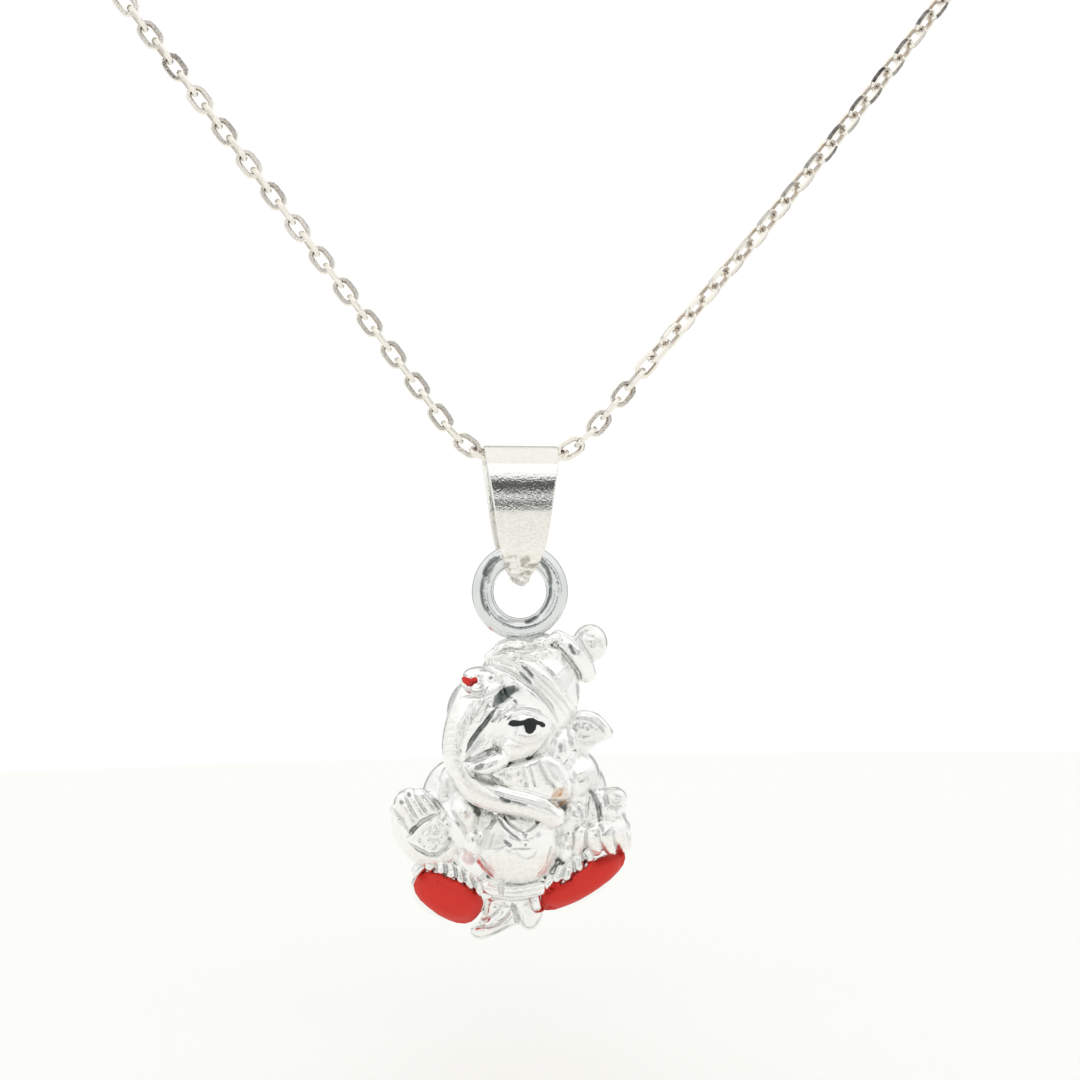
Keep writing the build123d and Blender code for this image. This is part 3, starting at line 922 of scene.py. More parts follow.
def flat_sheet(outline, spacing):
    """A fine sheet in pixels of the photograph, cut to an outline."""
    line = np.array(outline, float)
    low, high = line.min(axis=0), line.max(axis=0)
    middle, half = (low + high) / 2, (high - low) / 2 + 1
    bm = bmesh.new()
    bmesh.ops.create_grid(
        bm, x_segments=round(2 * half[0] / spacing), y_segments=round(2 * half[1] / spacing),
        size=1, matrix=Matrix.Translation((*middle, 0)) @ Matrix.Diagonal((*half, 1, 1)))
    centres = np.array([face.calc_center_median().to_2d() for face in bm.faces])
    outside = inside_outline(centres[:, 0], centres[:, 1], outline) < 0
    bmesh.ops.delete(bm, geom=[face for face, out in zip(bm.faces, outside) if out], context="FACES")
    closed = [Vector(point) for point in outline] + [Vector(outline[0])]
    for corner in bm.verts:
        if corner.is_boundary:
            here = corner.co.to_2d()
            options = []
            for first, last in zip(closed, closed[1:]):
                share = (here - first).dot(last - first) / (last - first).length_squared
                options.append(first.lerp(last, between_0_and_1(share)))
            nearest = min(options, key=lambda option: (option - here).length)
            corner.co = (*nearest, 0)
    inner = [corner for corner in bm.verts if not corner.is_boundary]
    for _ in range(sheet_smoothing):
        bmesh.ops.smooth_vert(bm, verts=inner, factor=0.5, use_axis_x=True, use_axis_y=True)
    return bm


def dome(depth, swell):
    """From 0 at an outline to 1 this deep inside it, round like the edge of a coin."""
    return np.sqrt(np.clip(1 - (1 - np.clip(depth / swell, 0, 1)) ** 2, 0, 1))


def face_the_viewer(bm):
    bmesh.ops.recalc_face_normals(bm, faces=bm.faces)
    if sum(face.normal.y for face in bm.faces) > 0:
        bmesh.ops.reverse_faces(bm, faces=bm.faces)


def raise_relief(bm, relief):
    """A domed form over an outline, its edge this high above the flat back and its crown higher."""
    sheet = flat_sheet(relief.line, relief_spacing)
    flat = np.array([corner.co.to_2d() for corner in sheet.verts])
    depth = inside_outline(flat[:, 0], flat[:, 1], relief.line)
    rise = relief.out + relief.crown * dome(depth, relief.swell)
    for corner, place, height in zip(sheet.verts, flat.tolist(), rise.tolist()):
        corner.co = spot(*place, height)
    back = bmesh.ops.extrude_face_region(sheet, geom=sheet.faces[:], use_keep_orig=True)["geom"]
    places = [corner.co.copy() for corner in sheet.verts]
    low, high = min(place.z for place in places), max(place.z for place in places)
    middle = sum(places, Vector()) / len(places)
    for corner in only(bmesh.types.BMVert, back):
        draw_back(corner, corner.co.y + relief.depth, low, high)
        corner.co.x += (middle.x - corner.co.x) * (1 - back_taper)
        corner.co.z += (middle.z - corner.co.z) * (1 - back_taper)
    bmesh.ops.recalc_face_normals(sheet, faces=sheet.faces)
    bm.from_mesh(mesh_of(sheet, "relief"))


# %% [markdown]
# The forms of one piece are pressed together by a voxel remesh, which also closes them, and are
# then cut flat at the back. Pieces that overlap are cut at different depths, because two flat
# backs in one plane would flicker.

# %% From wax to one skin
skin_smoothing = 4
cut_reach = 0.0001


def one_skin(name, forms, voxel, inset):
    """Wax forms as one closed mesh, of voxels this large, cut this far in from the flat back."""
    bm = bmesh.new()
    for form in forms:
        if isinstance(form, Lump):
            press_lump(bm, form)
        elif isinstance(form, Relief):
            raise_relief(bm, form)
        else:
            roll_wax(bm, form)
    mesh = evaluated(mesh_of(bm, name), name, [
        ("REMESH", {"mode": "VOXEL", "voxel_size": voxel}),
        ("SMOOTH", {"factor": 0.5, "iterations": skin_smoothing}),
    ])
    bm = bmesh.new()
    bm.from_mesh(mesh)
    cut = bmesh.ops.bisect_plane(
        bm, geom=list(bm.verts) + list(bm.edges) + list(bm.faces), dist=cut_reach,
        plane_co=(0, figure_back - inset, 0), plane_no=(0, 1, 0), clear_outer=True)["geom_cut"]
    bmesh.ops.contextual_create(bm, geom=only(bmesh.types.BMEdge, cut))
    bmesh.ops.triangulate(bm, faces=[face for face in bm.faces if len(face.verts) > 4])
    return mesh_of(bm, name)


# %% [markdown]
# A modelling tool leaves three kinds of mark: a groove, a ridge and a roughened place. Each mark is a
# line over the photograph with a half width in pixels. It moves the skin in or out along its own
# normals, only where the skin faces the viewer, and can also leave the place frosted or dark. The dark
# is partly dirt, because polishing never reaches the bottom of a groove, and partly painted shade and
# painted dark reflection in the grooves and folds of the polished silver. Frost and dark are kept as
# attributes of the mesh, and the silver's material reads them.

# %% Modelling marks
Mark = namedtuple("Mark", "half_width height frost dark line red amber", defaults=((), 0, 0))
Patch = namedtuple("Patch", "height stipple frost dark soft line")
facing_soft = 0.5
mark_taper = 0.2
mark_end = 0.25
stain_and_shade_reach = 2.2
tooled_easing = 1
back_margin = 0.15
stipple_spacing = 0.2
hollow_easing = 2
hollow_depth = 0.01
hollow_dirt_and_shade = 0.22


def alike(half_width, height, frost, dark, *lines):
    """Marks of one profile along several lines."""
    return [Mark(half_width, height, frost, dark, line) for line in lines]


def neighbour_mean(mesh, values):
    """For each corner of the mesh, the mean of the values at the corners joined to it."""
    ends = np.zeros(len(mesh.edges) * 2, int)
    mesh.edges.foreach_get("vertices", ends)
    ends = ends.reshape(-1, 2)
    count = np.bincount(ends.reshape(-1), minlength=len(values))[:, None]
    columns = [np.bincount(ends[:, 0], values[ends[:, 1], i], len(values))
               + np.bincount(ends[:, 1], values[ends[:, 0], i], len(values))
               for i in range(values.shape[1])]
    return np.stack(columns, axis=1) / np.maximum(count, 1)


def eased(mesh, values, rounds):
    for _ in range(rounds):
        values = (values + neighbour_mean(mesh, values)) / 2
    return values


def hollows(mesh):
    """How hollow the skin is at each corner, from 0 to 1, which is where grime stays and where shade
    is painted.
    """
    places = corners_of(mesh)
    depth = ((neighbour_mean(mesh, places) - places) * normals_of(mesh)).sum(axis=1)
    depth = eased(mesh, depth[:, None], hollow_easing)[:, 0]
    return smooth_step(depth / hollow_depth)


def tooled(mesh, marks, patches):
    """The skin with its marks, its stippled places and the attributes that they leave.

    The corners near the flat back aren't eased, so that its rim stays where it was cut."""
    places = corners_of(mesh)
    normals = normals_of(mesh)
    across, down = in_picture(places)
    sight = np.array(eye) - places
    sight /= np.linalg.norm(sight, axis=1)[:, None]
    facing = smooth_step((normals * sight).sum(axis=1) / facing_soft)
    moved, stipple = np.zeros(len(places)), np.zeros(len(places))
    masks = {name: np.zeros(len(places)) for name in ("frost", "dark", "red", "amber")}
    for mark in marks:
        line = np.array(mark.line, float)
        low, high = line.min(axis=0) - mark.half_width, line.max(axis=0) + mark.half_width
        near = np.flatnonzero((across > low[0]) & (across < high[0]) & (down > low[1])
                              & (down < high[1]) & (facing > 0))
        away, share = distance_to_line(across[near], down[near], mark.line)
        taper = smooth_step(np.minimum(share, 1 - share) / mark_taper) * (1 - mark_end) + mark_end
        reached = away / (mark.half_width * taper)
        amount = np.clip(1 - reached ** 2, 0, 1) ** 2 * facing[near]
        # The spread of a mark's dark, red and amber. Its dark is partly dirt and partly painted shade.
        stain_and_shade = smooth_step(stain_and_shade_reach * (1 - reached)) * facing[near]
        moved[near] += mark.height * amount * taper
        for name, shape in (("frost", amount), ("dark", stain_and_shade), ("red", stain_and_shade), ("amber", stain_and_shade)):
            masks[name][near] = np.maximum(masks[name][near], getattr(mark, name) * shape)
    for patch in patches:
        depth = inside_outline(across, down, patch.line)
        amount = smooth_step(depth / patch.soft + 0.5) * facing
        moved += patch.height * amount
        stipple = np.maximum(stipple, patch.stipple * amount)
        for name in ("frost", "dark"):
            masks[name] = np.maximum(masks[name], getattr(patch, name) * amount)
    moved += stipple * lumpiness(places, stipple_spacing)
    places += normals * moved[:, None]
    off_back = places[:, 1] < figure_back - back_margin
    places[off_back] = eased(mesh, places, tooled_easing)[off_back]
    mesh.vertices.foreach_set("co", places.reshape(-1))
    mesh.update()
    # Hollows get dirt and painted shade.
    masks["dark"] = np.maximum(masks["dark"], hollow_dirt_and_shade * hollows(mesh) * off_back)
    for name, values in masks.items():
        keep_mask(mesh, name, values)
    return mesh


def cast(name, forms, marks, patches, voxel, inset):
    """A silver piece of the figure, from its wax forms to its place on the pendant."""
    mesh = tooled(one_skin(name, forms, voxel, inset), marks, patches)
    return finished(name, mesh, "pendant", figure_silver, "figure_with_ring")


# %% [markdown]
# The ring is round wire, bent to a circle and soldered into the top of the figure. A full spin of the
# wire's section makes it. Dark reflections on its two limbs are painted into its colour as broken
# streaks, the joint at its foot is rough with solder, and a drop of red enamel has dried there.

# %% Ring
ring_wire = 1.34
ring_radius = 2.28
ring_rows = 160
ring_sides = 48
ring_weld = 0.001
ring_middle = ring_hinge - Vector((0, 0, ring_radius))


def make_ring():
    bm = bmesh.new()
    section = Matrix.Translation(ring_middle + Vector((ring_radius, 0, 0)))
    wire = bmesh.ops.create_circle(
        bm, cap_ends=False, segments=ring_sides, radius=ring_wire / 2, matrix=section)["verts"]
    bmesh.ops.spin(bm, geom=wire + edges_at(wire), cent=ring_middle, axis=(0, 1, 0),
                   angle=2 * math.pi, steps=ring_rows, use_merge=True)
    bmesh.ops.remove_doubles(bm, verts=bm.verts, dist=ring_weld)
    bmesh.ops.recalc_face_normals(bm, faces=bm.faces)
    return mesh_of(bm, "ring")


# Dark reflections are painted on the ring's limbs as broken streaks, and the red drop sits at its
# foot.
ring_painted_reflections_and_drop = [
    Mark(3.6, 0, 0, 0.95, [(500, 556), (491, 562), (486, 570), (484, 578)]),
    Mark(2.2, 0, 0, 0.9, [(484, 576), (481.5, 590), (483, 603), (490, 616)]),
    Mark(2.6, 0, 0, 0.95, [(539, 560), (547, 568), (550, 577), (551, 588)]),
    Mark(2.2, 0, 0, 0.85, [(551, 584), (550, 596), (546, 606), (539, 615)]),
    Mark(2.6, 0, 0, 0.95, [(524, 623), (531, 620.5), (539, 616)]),
    Mark(2, 0, 0, 0.5, [(497, 616), (506, 621), (515, 622)]),
    Mark(2, 0, 0, 0.6, [(494, 566), (489, 575), (488, 585)]),
    Mark(2, 0.02, 0, 0, [(488, 627.5), (490, 629.5), (492.5, 631.5)], red=1),
]
ring_patches = [
    Patch(0, 0.02, 0.5, 0.12, 6, [(486, 622), (500, 634), (518, 638), (536, 634), (550, 622),
        (558, 632), (536, 648), (500, 648), (478, 632)]),
]
finished("ring", tooled(make_ring(), ring_painted_reflections_and_drop, ring_patches), "pendant",
         ring_silver, "figure_with_ring")

# %% [markdown]
# The turban is wound cloth. Its folds run from the viewer's upper left down to the right, and are
# cut into the dome as grooves. The knot of cloth and the ball behind it stand off to the right.

# %% Turban
brow_shadow = [
    (519, 690.5), (518.8, 688), (513.5, 685.3), (508.3, 686), (503, 688.4), (497.8, 693), (495, 698.4),
    (492.5, 704), (492, 707.5), (497, 706), (502, 703), (507, 699.5), (511, 695.7), (515, 692.6),
]
turban_forms = [
    Lump(531, 692, 3.0, 48.5, 51, 2.75, 0),
    Lump(512, 672, 3.0, 31, 27, 2.4, 15),
    [Bead(489, 657, 3.4, 5), Bead(500, 649, 3.8, 6), Bead(514, 645, 4.0, 6.5),
        Bead(530, 646, 4.0, 6), Bead(545, 641, 3.8, 5.5), Bead(556, 637, 3.5, 5)],
    [Bead(500, 646, 3.3, 5), Bead(510, 642, 3.3, 5.5), Bead(522, 640, 3.4, 5.5),
        Bead(535, 641, 3.3, 5.5), Bead(546, 638, 3.3, 5)],
    [Bead(496, 660, 4.4, 5), Bead(512, 654, 4.6, 5.5), Bead(528, 656, 4.6, 5),
        Bead(544, 651, 4.4, 5.5), Bead(557, 654, 4.1, 5)],
    Lump(590, 643, 3.0, 17.5, 19, 1.15, 0),
    [Bead(558, 639, 2.9, 9), Bead(571, 648, 3.1, 12), Bead(581, 661, 3.1, 12),
        Bead(586, 673, 2.9, 10)],
]
turban_marks = [
    Mark(4, -0.20, 0.3, 0.25, [(486, 664), (505, 669), (521, 679.5), (536, 690), (550.5, 706),
        (558, 722)]),
    Mark(3, -0.12, 0.3, 0.15, [(490, 660), (510, 664), (526, 673.5), (541, 686), (556, 701),
        (566, 716)]),
    Mark(3, -0.13, 0.3, 0.2, [(499.6, 657), (515.7, 661), (531.8, 670), (547.9, 684), (563.9, 701),
        (571, 712)]),
    Mark(3.5, -0.12, 0.3, 0.1, [(520, 653), (536, 660), (550, 673), (562, 688), (573, 704)]),
    Mark(3, 0.06, 0, 0, [(502, 662), (520, 668), (538, 680), (553, 696)]),
    Mark(2.5, -0.08, 0, 0.9, [(522, 665), (528, 670), (534, 678)]),
    Mark(2.2, -0.06, 0, 0.85, [(519, 671), (525, 677), (532, 684)]),
    Mark(2.5, -0.16, 0.2, 0.35, [(552, 640), (563, 653), (572, 664), (579, 674), (581, 690),
        (577, 708)]),
    Mark(1.8, -0.07, 0, 0.15, [(554.5, 679.5), (562, 672), (569.3, 663.5)]),
    Mark(1.8, -0.07, 0, 0.15, [(576, 673), (572, 682), (567, 690)]),
    Mark(4, 0.08, 0, 0, [(565, 692), (567, 696)]),
    Mark(2.4, -0.14, 0.4, 0.25, [(492, 656), (501, 652), (512, 649), (524, 653), (537, 648),
        (549, 650)]),
    Mark(2, -0.1, 0.4, 0.2, [(506, 642), (504, 648), (509, 655)]),
    Mark(2, -0.1, 0.4, 0.2, [(521, 641), (524, 647), (520, 654), (524, 661)]),
    Mark(2, -0.1, 0.4, 0.2, [(537, 639), (535, 646), (541, 652)]),
    Mark(2, -0.08, 0.4, 0.15, [(486, 661), (497, 659), (508, 663), (519, 667)]),
    Mark(2, 0.07, 0, 0, [(495, 653), (505, 646), (517, 648), (529, 644), (541, 644)]),
    Mark(2, -0.07, 0.4, 0.1, [(510, 662), (522, 657), (534, 660), (546, 656), (556, 660)]),
    Mark(2, 0.06, 0, 0, [(506, 658), (519, 652), (530, 656), (544, 652)]),
    Mark(2.4, -0.09, 0, 0.9, [(569.5, 644), (572, 649), (575, 655)]),
    Mark(3, -0.12, 0.2, 0.2, [(577, 636), (583, 648), (590, 658), (594, 664)]),
    Mark(2, -0.05, 0.2, 0.15, [(562, 634), (574, 641), (584, 652)]),
    Mark(3, -0.06, 0.3, 0.1, [(584, 634), (590, 637), (596, 638)]),
    Mark(3, -0.07, 0.3, 0.2, [(593, 644), (599, 641), (603, 648)]),
    Mark(2.5, 0.05, 0, 0, [(587, 645), (594, 650), (598, 656)]),
]
turban_patches = [
    Patch(0, 0.075, 0.3, 0.04, 6, [(484, 664), (500, 640), (555, 634), (566, 656), (540, 664),
        (505, 658)]),
    Patch(0, 0.03, 0.2, 0.95, 2, brow_shadow),
    Patch(-0.03, 0, 0.1, 0.12, 3, [(556, 681), (569, 665), (575, 673), (566, 690)]),
    Patch(0, 0.02, 0.3, 0.06, 5, [(575, 630), (590, 625), (607, 640), (604, 658), (590, 662)]),
]
cast("turban", turban_forms, turban_marks, turban_patches, voxel=0.062, inset=0.03)

# %% [markdown]
# The head is turned to the viewer's left, so it shows one eye and one ear. Its brow and the root of
# the trunk are one broad form, and a deep fold divides them from the cheek. The trunk hangs down,
# turns at the tusk and lies across the chest.

# %% Head and trunk
head_forms = [
    Lump(490, 712, 3.4, 43, 40, 2.7, 0),
    Lump(522, 726, 3.8, 33.5, 37, 2.5, 0),
    Lump(514, 744, 4.3, 24, 20, 1.95, 20),
    Lump(480, 675, 4.3, 17, 9, 1.0, 0),
    Lump(469, 681, 4.9, 8.5, 6, 0.55, 0),
    Lump(490.5, 677.5, 5.0, 7, 7, 0.65, 0),
    Lump(477.5, 688, 5.6, 7, 5.5, 0.5, 0),
    Relief(3.0, 0.75, 16, [(571, 715), (578, 710.5), (585, 709.2), (592, 710.8), (598.3, 713.3),
        (604.2, 718.3), (609.2, 724.2), (612.8, 730), (613.7, 735), (611.7, 738.3), (605, 741),
        (598.3, 744.2), (592.5, 748.3), (585.8, 753.3), (580.8, 757.5), (575, 762), (567, 767),
        (558, 764), (553, 750), (552, 735), (558, 722)]),
    Lump(567, 742, 2.6, 13, 24, 1.5, 0),
    [Bead(503, 722, 4.9, 12), Bead(487, 742, 5.1, 11), Bead(473, 757, 5.3, 8)],
    [Bead(484, 697, 4.3, 27), Bead(470, 718, 4.8, 24), Bead(459, 740, 5.2, 18),
        Bead(455.5, 758, 5.5, 13.5), Bead(460, 773, 5.6, 12), Bead(469, 787, 5.65, 12.5),
        Bead(484, 796, 5.7, 13.3), Bead(503, 800.5, 5.8, 13.3), Bead(525, 805, 5.8, 12.5),
        Bead(545, 811, 5.75, 12), Bead(555, 817, 5.6, 11)],
    [Bead(469, 765, 5.8, 4.5), Bead(479, 767, 6.0, 8), Bead(490, 765, 6.0, 10.5),
        Bead(501, 759.5, 5.7, 8.5)],
]
head_marks = [
    Mark(9, -0.22, 0.2, 0.3, [(519, 687), (510, 691), (500, 700), (494, 710)]),
    Mark(3.4, -0.16, 0.2, 0.95, [(496, 708), (488, 719), (480, 730), (472, 741), (466.5, 752)]),
    Mark(3, 0.09, 0, 0, [(500, 707), (490, 713), (484, 720), (480, 728)]),
    Mark(2.5, -0.07, 0, 0.5, [(500, 711), (497, 718), (491, 722)]),
    Mark(3, 0.06, 0, 0, [(506, 716), (493, 729), (480, 746), (468, 758)]),
    Mark(3.5, 0.10, 0, 0, [(506, 705), (513, 699), (522, 696.5), (537, 699), (548, 706),
        (553, 714), (554, 724)]),
    Mark(2.5, -0.08, 0.3, 0.25, [(509, 711), (518, 704), (532, 702), (543, 707), (550, 716)]),
    Mark(3.5, 0.08, 0, 0, [(513, 706), (518, 701)]),
    Mark(2, -0.06, 0, 0.8, [(513, 700.5), (519, 703.5)]),
    Mark(2.5, 0.10, 0, 0, [(502, 722), (510, 714.5), (523.7, 711.5), (537, 714.5), (545, 721)]),
    Mark(2, -0.07, 0, 0.3, [(500, 716), (510, 710), (523, 707.5), (538, 710.5), (547, 718)]),
    Mark(2.2, 0.08, 0, 0, [(510, 732), (520, 737), (530, 739), (540, 736), (548, 729)]),
    Mark(2.5, -0.06, 0.2, 0.12, [(507, 737), (518, 743), (531, 745), (544, 740), (552, 729)]),
    Mark(7, 0.10, 0, 0, [(502, 744), (506, 748)]),
    Mark(3, -0.07, 0.2, 0.2, [(493, 738), (495, 747), (502, 754)]),
    Mark(2.5, -0.10, 0.3, 0.3, [(551, 733), (544, 746.5), (532, 758.6), (513, 763), (503, 766)]),
    Mark(2.5, -0.12, 0.2, 0.35, [(463, 762), (474, 758.5), (486, 752.5), (496, 749.5)]),
    Mark(3.5, -0.05, 0, 0.75, [(474, 769), (480, 767), (484, 764)]),
    Mark(2.2, -0.05, 0.1, 0.3, [(470, 764), (483.6, 758.6), (493, 750.5)]),
    Mark(1.8, -0.05, 0.1, 0.25, [(475.5, 771), (486, 768), (497, 761)]),
    Mark(2.5, -0.13, 0.3, 0.35, [(465, 767), (473, 776), (487, 778.5), (497, 774), (506, 766)]),
    Mark(1.5, 0, 0, 0, [(474, 803), (482, 809), (492, 813)], red=0.5),
    Mark(2.5, -0.09, 0.2, 0.25, [(460, 697.5), (472, 696), (483, 696.7), (494, 692.5), (506, 684)]),
    Mark(2.5, -0.12, 0.2, 0.3, [(461, 686), (468, 690), (474, 694), (484, 692.5), (489, 686)]),
    Mark(2.5, -0.10, 0.2, 0.2, [(479, 675), (483, 681), (483, 687)]),
    Mark(2.5, -0.09, 0, 0.8, [(489.5, 677), (492, 678.5)]),
    Mark(2, -0.06, 0, 0.75, [(480, 686), (482, 688.5)]),
    Mark(2.5, -0.06, 0.2, 0.12, [(469, 714), (464, 729), (460, 745), (459.5, 757)]),
    *alike(1.8, -0.04, 0.2, 0.1,
           [(441, 724), (449, 722.5), (456, 723)],
           [(440, 731), (449, 729.5), (456, 730)],
           [(440, 738), (449, 736.5), (457, 737)],
           [(441, 745), (449, 743.5), (457, 744)],
           [(442, 752), (450, 750.5), (457, 751)]),
    Mark(3, 0.12, 0, 0, [(488, 781), (500, 787), (511, 791), (528, 794.5), (545, 801), (559, 810)]),
    Mark(3.5, -0.14, 0.2, 0.2, [(487, 787), (497, 793), (510, 798), (528, 802), (545, 808),
        (556, 815)]),
    Mark(2.8, -0.04, 0, 1.0, [(499.5, 796.5), (505, 800), (512, 801.5)]),
    Mark(1.8, -0.03, 0, 0.9, [(511, 801), (519, 803), (527, 805)]),
    Mark(3, 0.07, 0, 0, [(571, 712), (580, 711.5), (590, 713), (601, 719), (609, 728), (612, 735)]),
    Mark(2.5, -0.10, 0.3, 0.3, [(573, 720), (581, 718), (590, 720), (599, 726), (606, 735)]),
    Mark(2.5, -0.09, 0.2, 0.3, [(559, 724), (564, 717), (572, 713)]),
    Mark(2.5, -0.08, 0.2, 0.3, [(558, 730), (560, 742), (565, 753)]),
    Mark(2, -0.06, 0.2, 0.2, [(566, 722), (568, 736), (574, 748)]),
    Mark(3, -0.06, 0, 0.9, [(576, 750), (574, 754), (571, 758)]),
    Mark(2, -0.06, 0, 0.6, [(563, 752), (561, 760)]),
    Mark(3, -0.07, 0.3, 0.2, [(578, 740), (586, 745), (596, 742)]),
    Mark(2.5, 0.05, 0, 0, [(581, 728), (588, 731), (594, 728)]),
    Mark(2.2, -0.05, 0.2, 0.2, [(578, 731), (584, 736), (592, 735)]),
]
head_patches = [
    Patch(-0.04, 0.03, 0.2, 1.0, 2, brow_shadow),
    Patch(0, 0.015, 0.55, 0, 8, [(444, 715), (457, 700), (463, 730), (456, 760), (463, 775),
        (450, 770), (442, 740)]),
    Patch(0, 0.01, 0.75, 0, 8, [(452, 776), (466, 775), (480, 783), (500, 800), (530, 807),
        (560, 818), (552, 831), (520, 820), (480, 812)]),
    Patch(0, 0.01, 0.6, 0, 8, [(510, 738), (548, 734), (535, 756), (512, 760)]),
    Patch(0, 0.03, 0.2, 0.1, 5, [(560, 722), (574, 714), (600, 727), (604, 739), (578, 752),
        (565, 760)]),
    Patch(0, 0.02, 0.3, 0, 6, [(468, 700), (492, 695), (480, 722), (467, 745), (462, 730)]),
]
head = cast("head", head_forms, head_marks, head_patches, voxel=0.066, inset=0.06)

# %% [markdown]
# The body is the broad back of the figure with its shoulders, its sides and the cloth on its
# chest. Most of it lies behind the other pieces, so its skin can be the coarsest.

# %% Body
red_line = [(476, 859), (482, 866), (488, 872.5), (494, 878)]
body_forms = [
    Relief(2.9, 1.35, 16, [(445, 765), (437, 776), (430, 789), (418, 792), (404, 795), (397, 806),
        (398, 824), (408, 843), (420, 860), (420, 880), (436, 902), (460, 914), (480, 908),
        (520, 900), (550, 902), (580, 892), (605, 876), (620, 858), (624, 842), (622, 822),
        (618, 806), (610, 794), (600, 788), (598, 776), (590, 765), (575, 757), (540, 750),
        (490, 752)], depth=5),
    Lump(516, 815, 2.2, 72, 66, 2.0, 0),
    Lump(530, 778, 2.9, 38, 36, 2.1, 0),
    Lump(557, 752, 2.6, 22, 34, 1.7, 0),
    Lump(573, 792, 2.7, 34, 38, 1.9, 0),
    Lump(454, 804, 2.4, 33, 45, 1.9, 0),
    Lump(456, 826, 3.2, 26, 34, 1.9, 20),
    Lump(470, 858, 3.3, 26, 24, 1.9, -30),
    Lump(520, 818, 3.4, 45, 33, 1.9, 0),
    Lump(572, 815, 3.1, 24, 30, 1.8, 0),
    Lump(564, 846, 3.2, 14, 22, 1.7, 0),
    Lump(482, 832, 3.4, 16, 16, 1.7, 0),
    Lump(463, 812, 3.2, 21, 28, 2.1, 0),
    Lump(470, 838, 3.6, 16, 20, 1.7, 0),
    Lump(576, 776, 3.0, 24, 28, 2.0, 0),
    Relief(5.3, 0.5, 8, [(486, 772), (505, 765), (525, 760), (545, 753), (562, 762), (574, 785),
        (572, 802), (545, 802), (520, 795), (500, 787)]),
]
body_marks = [
    Mark(2.5, 0.10, 0, 0, [(541, 757), (545, 766), (551, 777), (560, 785)]),
    Mark(2.5, -0.09, 0.2, 0.4, [(538, 758), (542, 769), (548, 780), (557, 788)]),
    Mark(2.5, 0.08, 0, 0, [(526, 764), (529, 775), (532, 788)]),
    Mark(2.2, -0.08, 0, 0.35, [(529.5, 766), (532.5, 776), (535, 787)]),
    Mark(2.2, -0.08, 0, 0.25, [(523, 766), (525.5, 777), (528, 788)]),
    Mark(3, -0.08, 0, 0.2, [(562, 790), (570, 800), (578, 808), (583, 822)]),
    Mark(3, 0.06, 0, 0, [(590, 766), (583, 772), (576, 776)]),
    Mark(3, -0.06, 0.2, 0.15, [(594, 772), (586, 778), (578, 781)]),
    Mark(7, 0, 0, 0, [(465, 852), (468, 858), (472, 864)], red=0.35),
    Mark(2, 0, 0, 0, red_line, red=1),
    Mark(5, 0, 0.2, 0, [(561, 792), (563, 799), (561, 805)], amber=1),
    Mark(11, 0, 0.2, 0, [(555, 790), (562, 798), (568, 802)], amber=0.6),
    Mark(2.5, 0, 0, 0, [(466, 814), (467, 818)], amber=0.6),
    Mark(1.6, 0, 0, 0, [(458, 789), (462, 795), (466, 799)], amber=0.3),
    Mark(3, -0.08, 0.2, 0.3, [(452, 811), (458, 820), (464, 828), (468, 836)]),
    Mark(3, 0.08, 0, 0, [(448, 812), (454, 822), (461, 832), (465, 842)]),
    Mark(2.5, -0.05, 0.2, 0.2, [(436, 775), (441, 783), (439, 792)]),
    Mark(2.5, -0.05, 0.2, 0.2, [(446, 779), (450, 788), (446, 797)]),
]
body_patches = [
    Patch(-0.02, 0.09, 0.5, 0, 4, [(503, 770), (523, 764), (527, 788), (512, 789), (495, 780)]),
    Patch(0, 0.05, 0.3, 0.05, 5, [(562, 786), (583, 800), (587, 826), (572, 832), (564, 820)]),
    Patch(0, 0.03, 0.2, 0.08, 6, [(428, 782), (438, 765), (455, 775), (462, 800), (445, 805)]),
    Patch(0, 0.03, 0.4, 0.05, 6, [(455, 812), (478, 812), (492, 816), (475, 835), (466, 842)]),
    Patch(0, 0.02, 0.1, 0.12, 6, [(572, 775), (595, 770), (602, 785), (585, 792)]),
]
cast("body", body_forms, body_marks, body_patches, voxel=0.08, inset=0)

# %% [markdown]
# The belly is round and is left frosted below. A necklace lies in a V above it, with a roughened
# place inside and a small pendant at its point. It is a piece of its own, because the necklace
# needs a finer skin than the plain back.

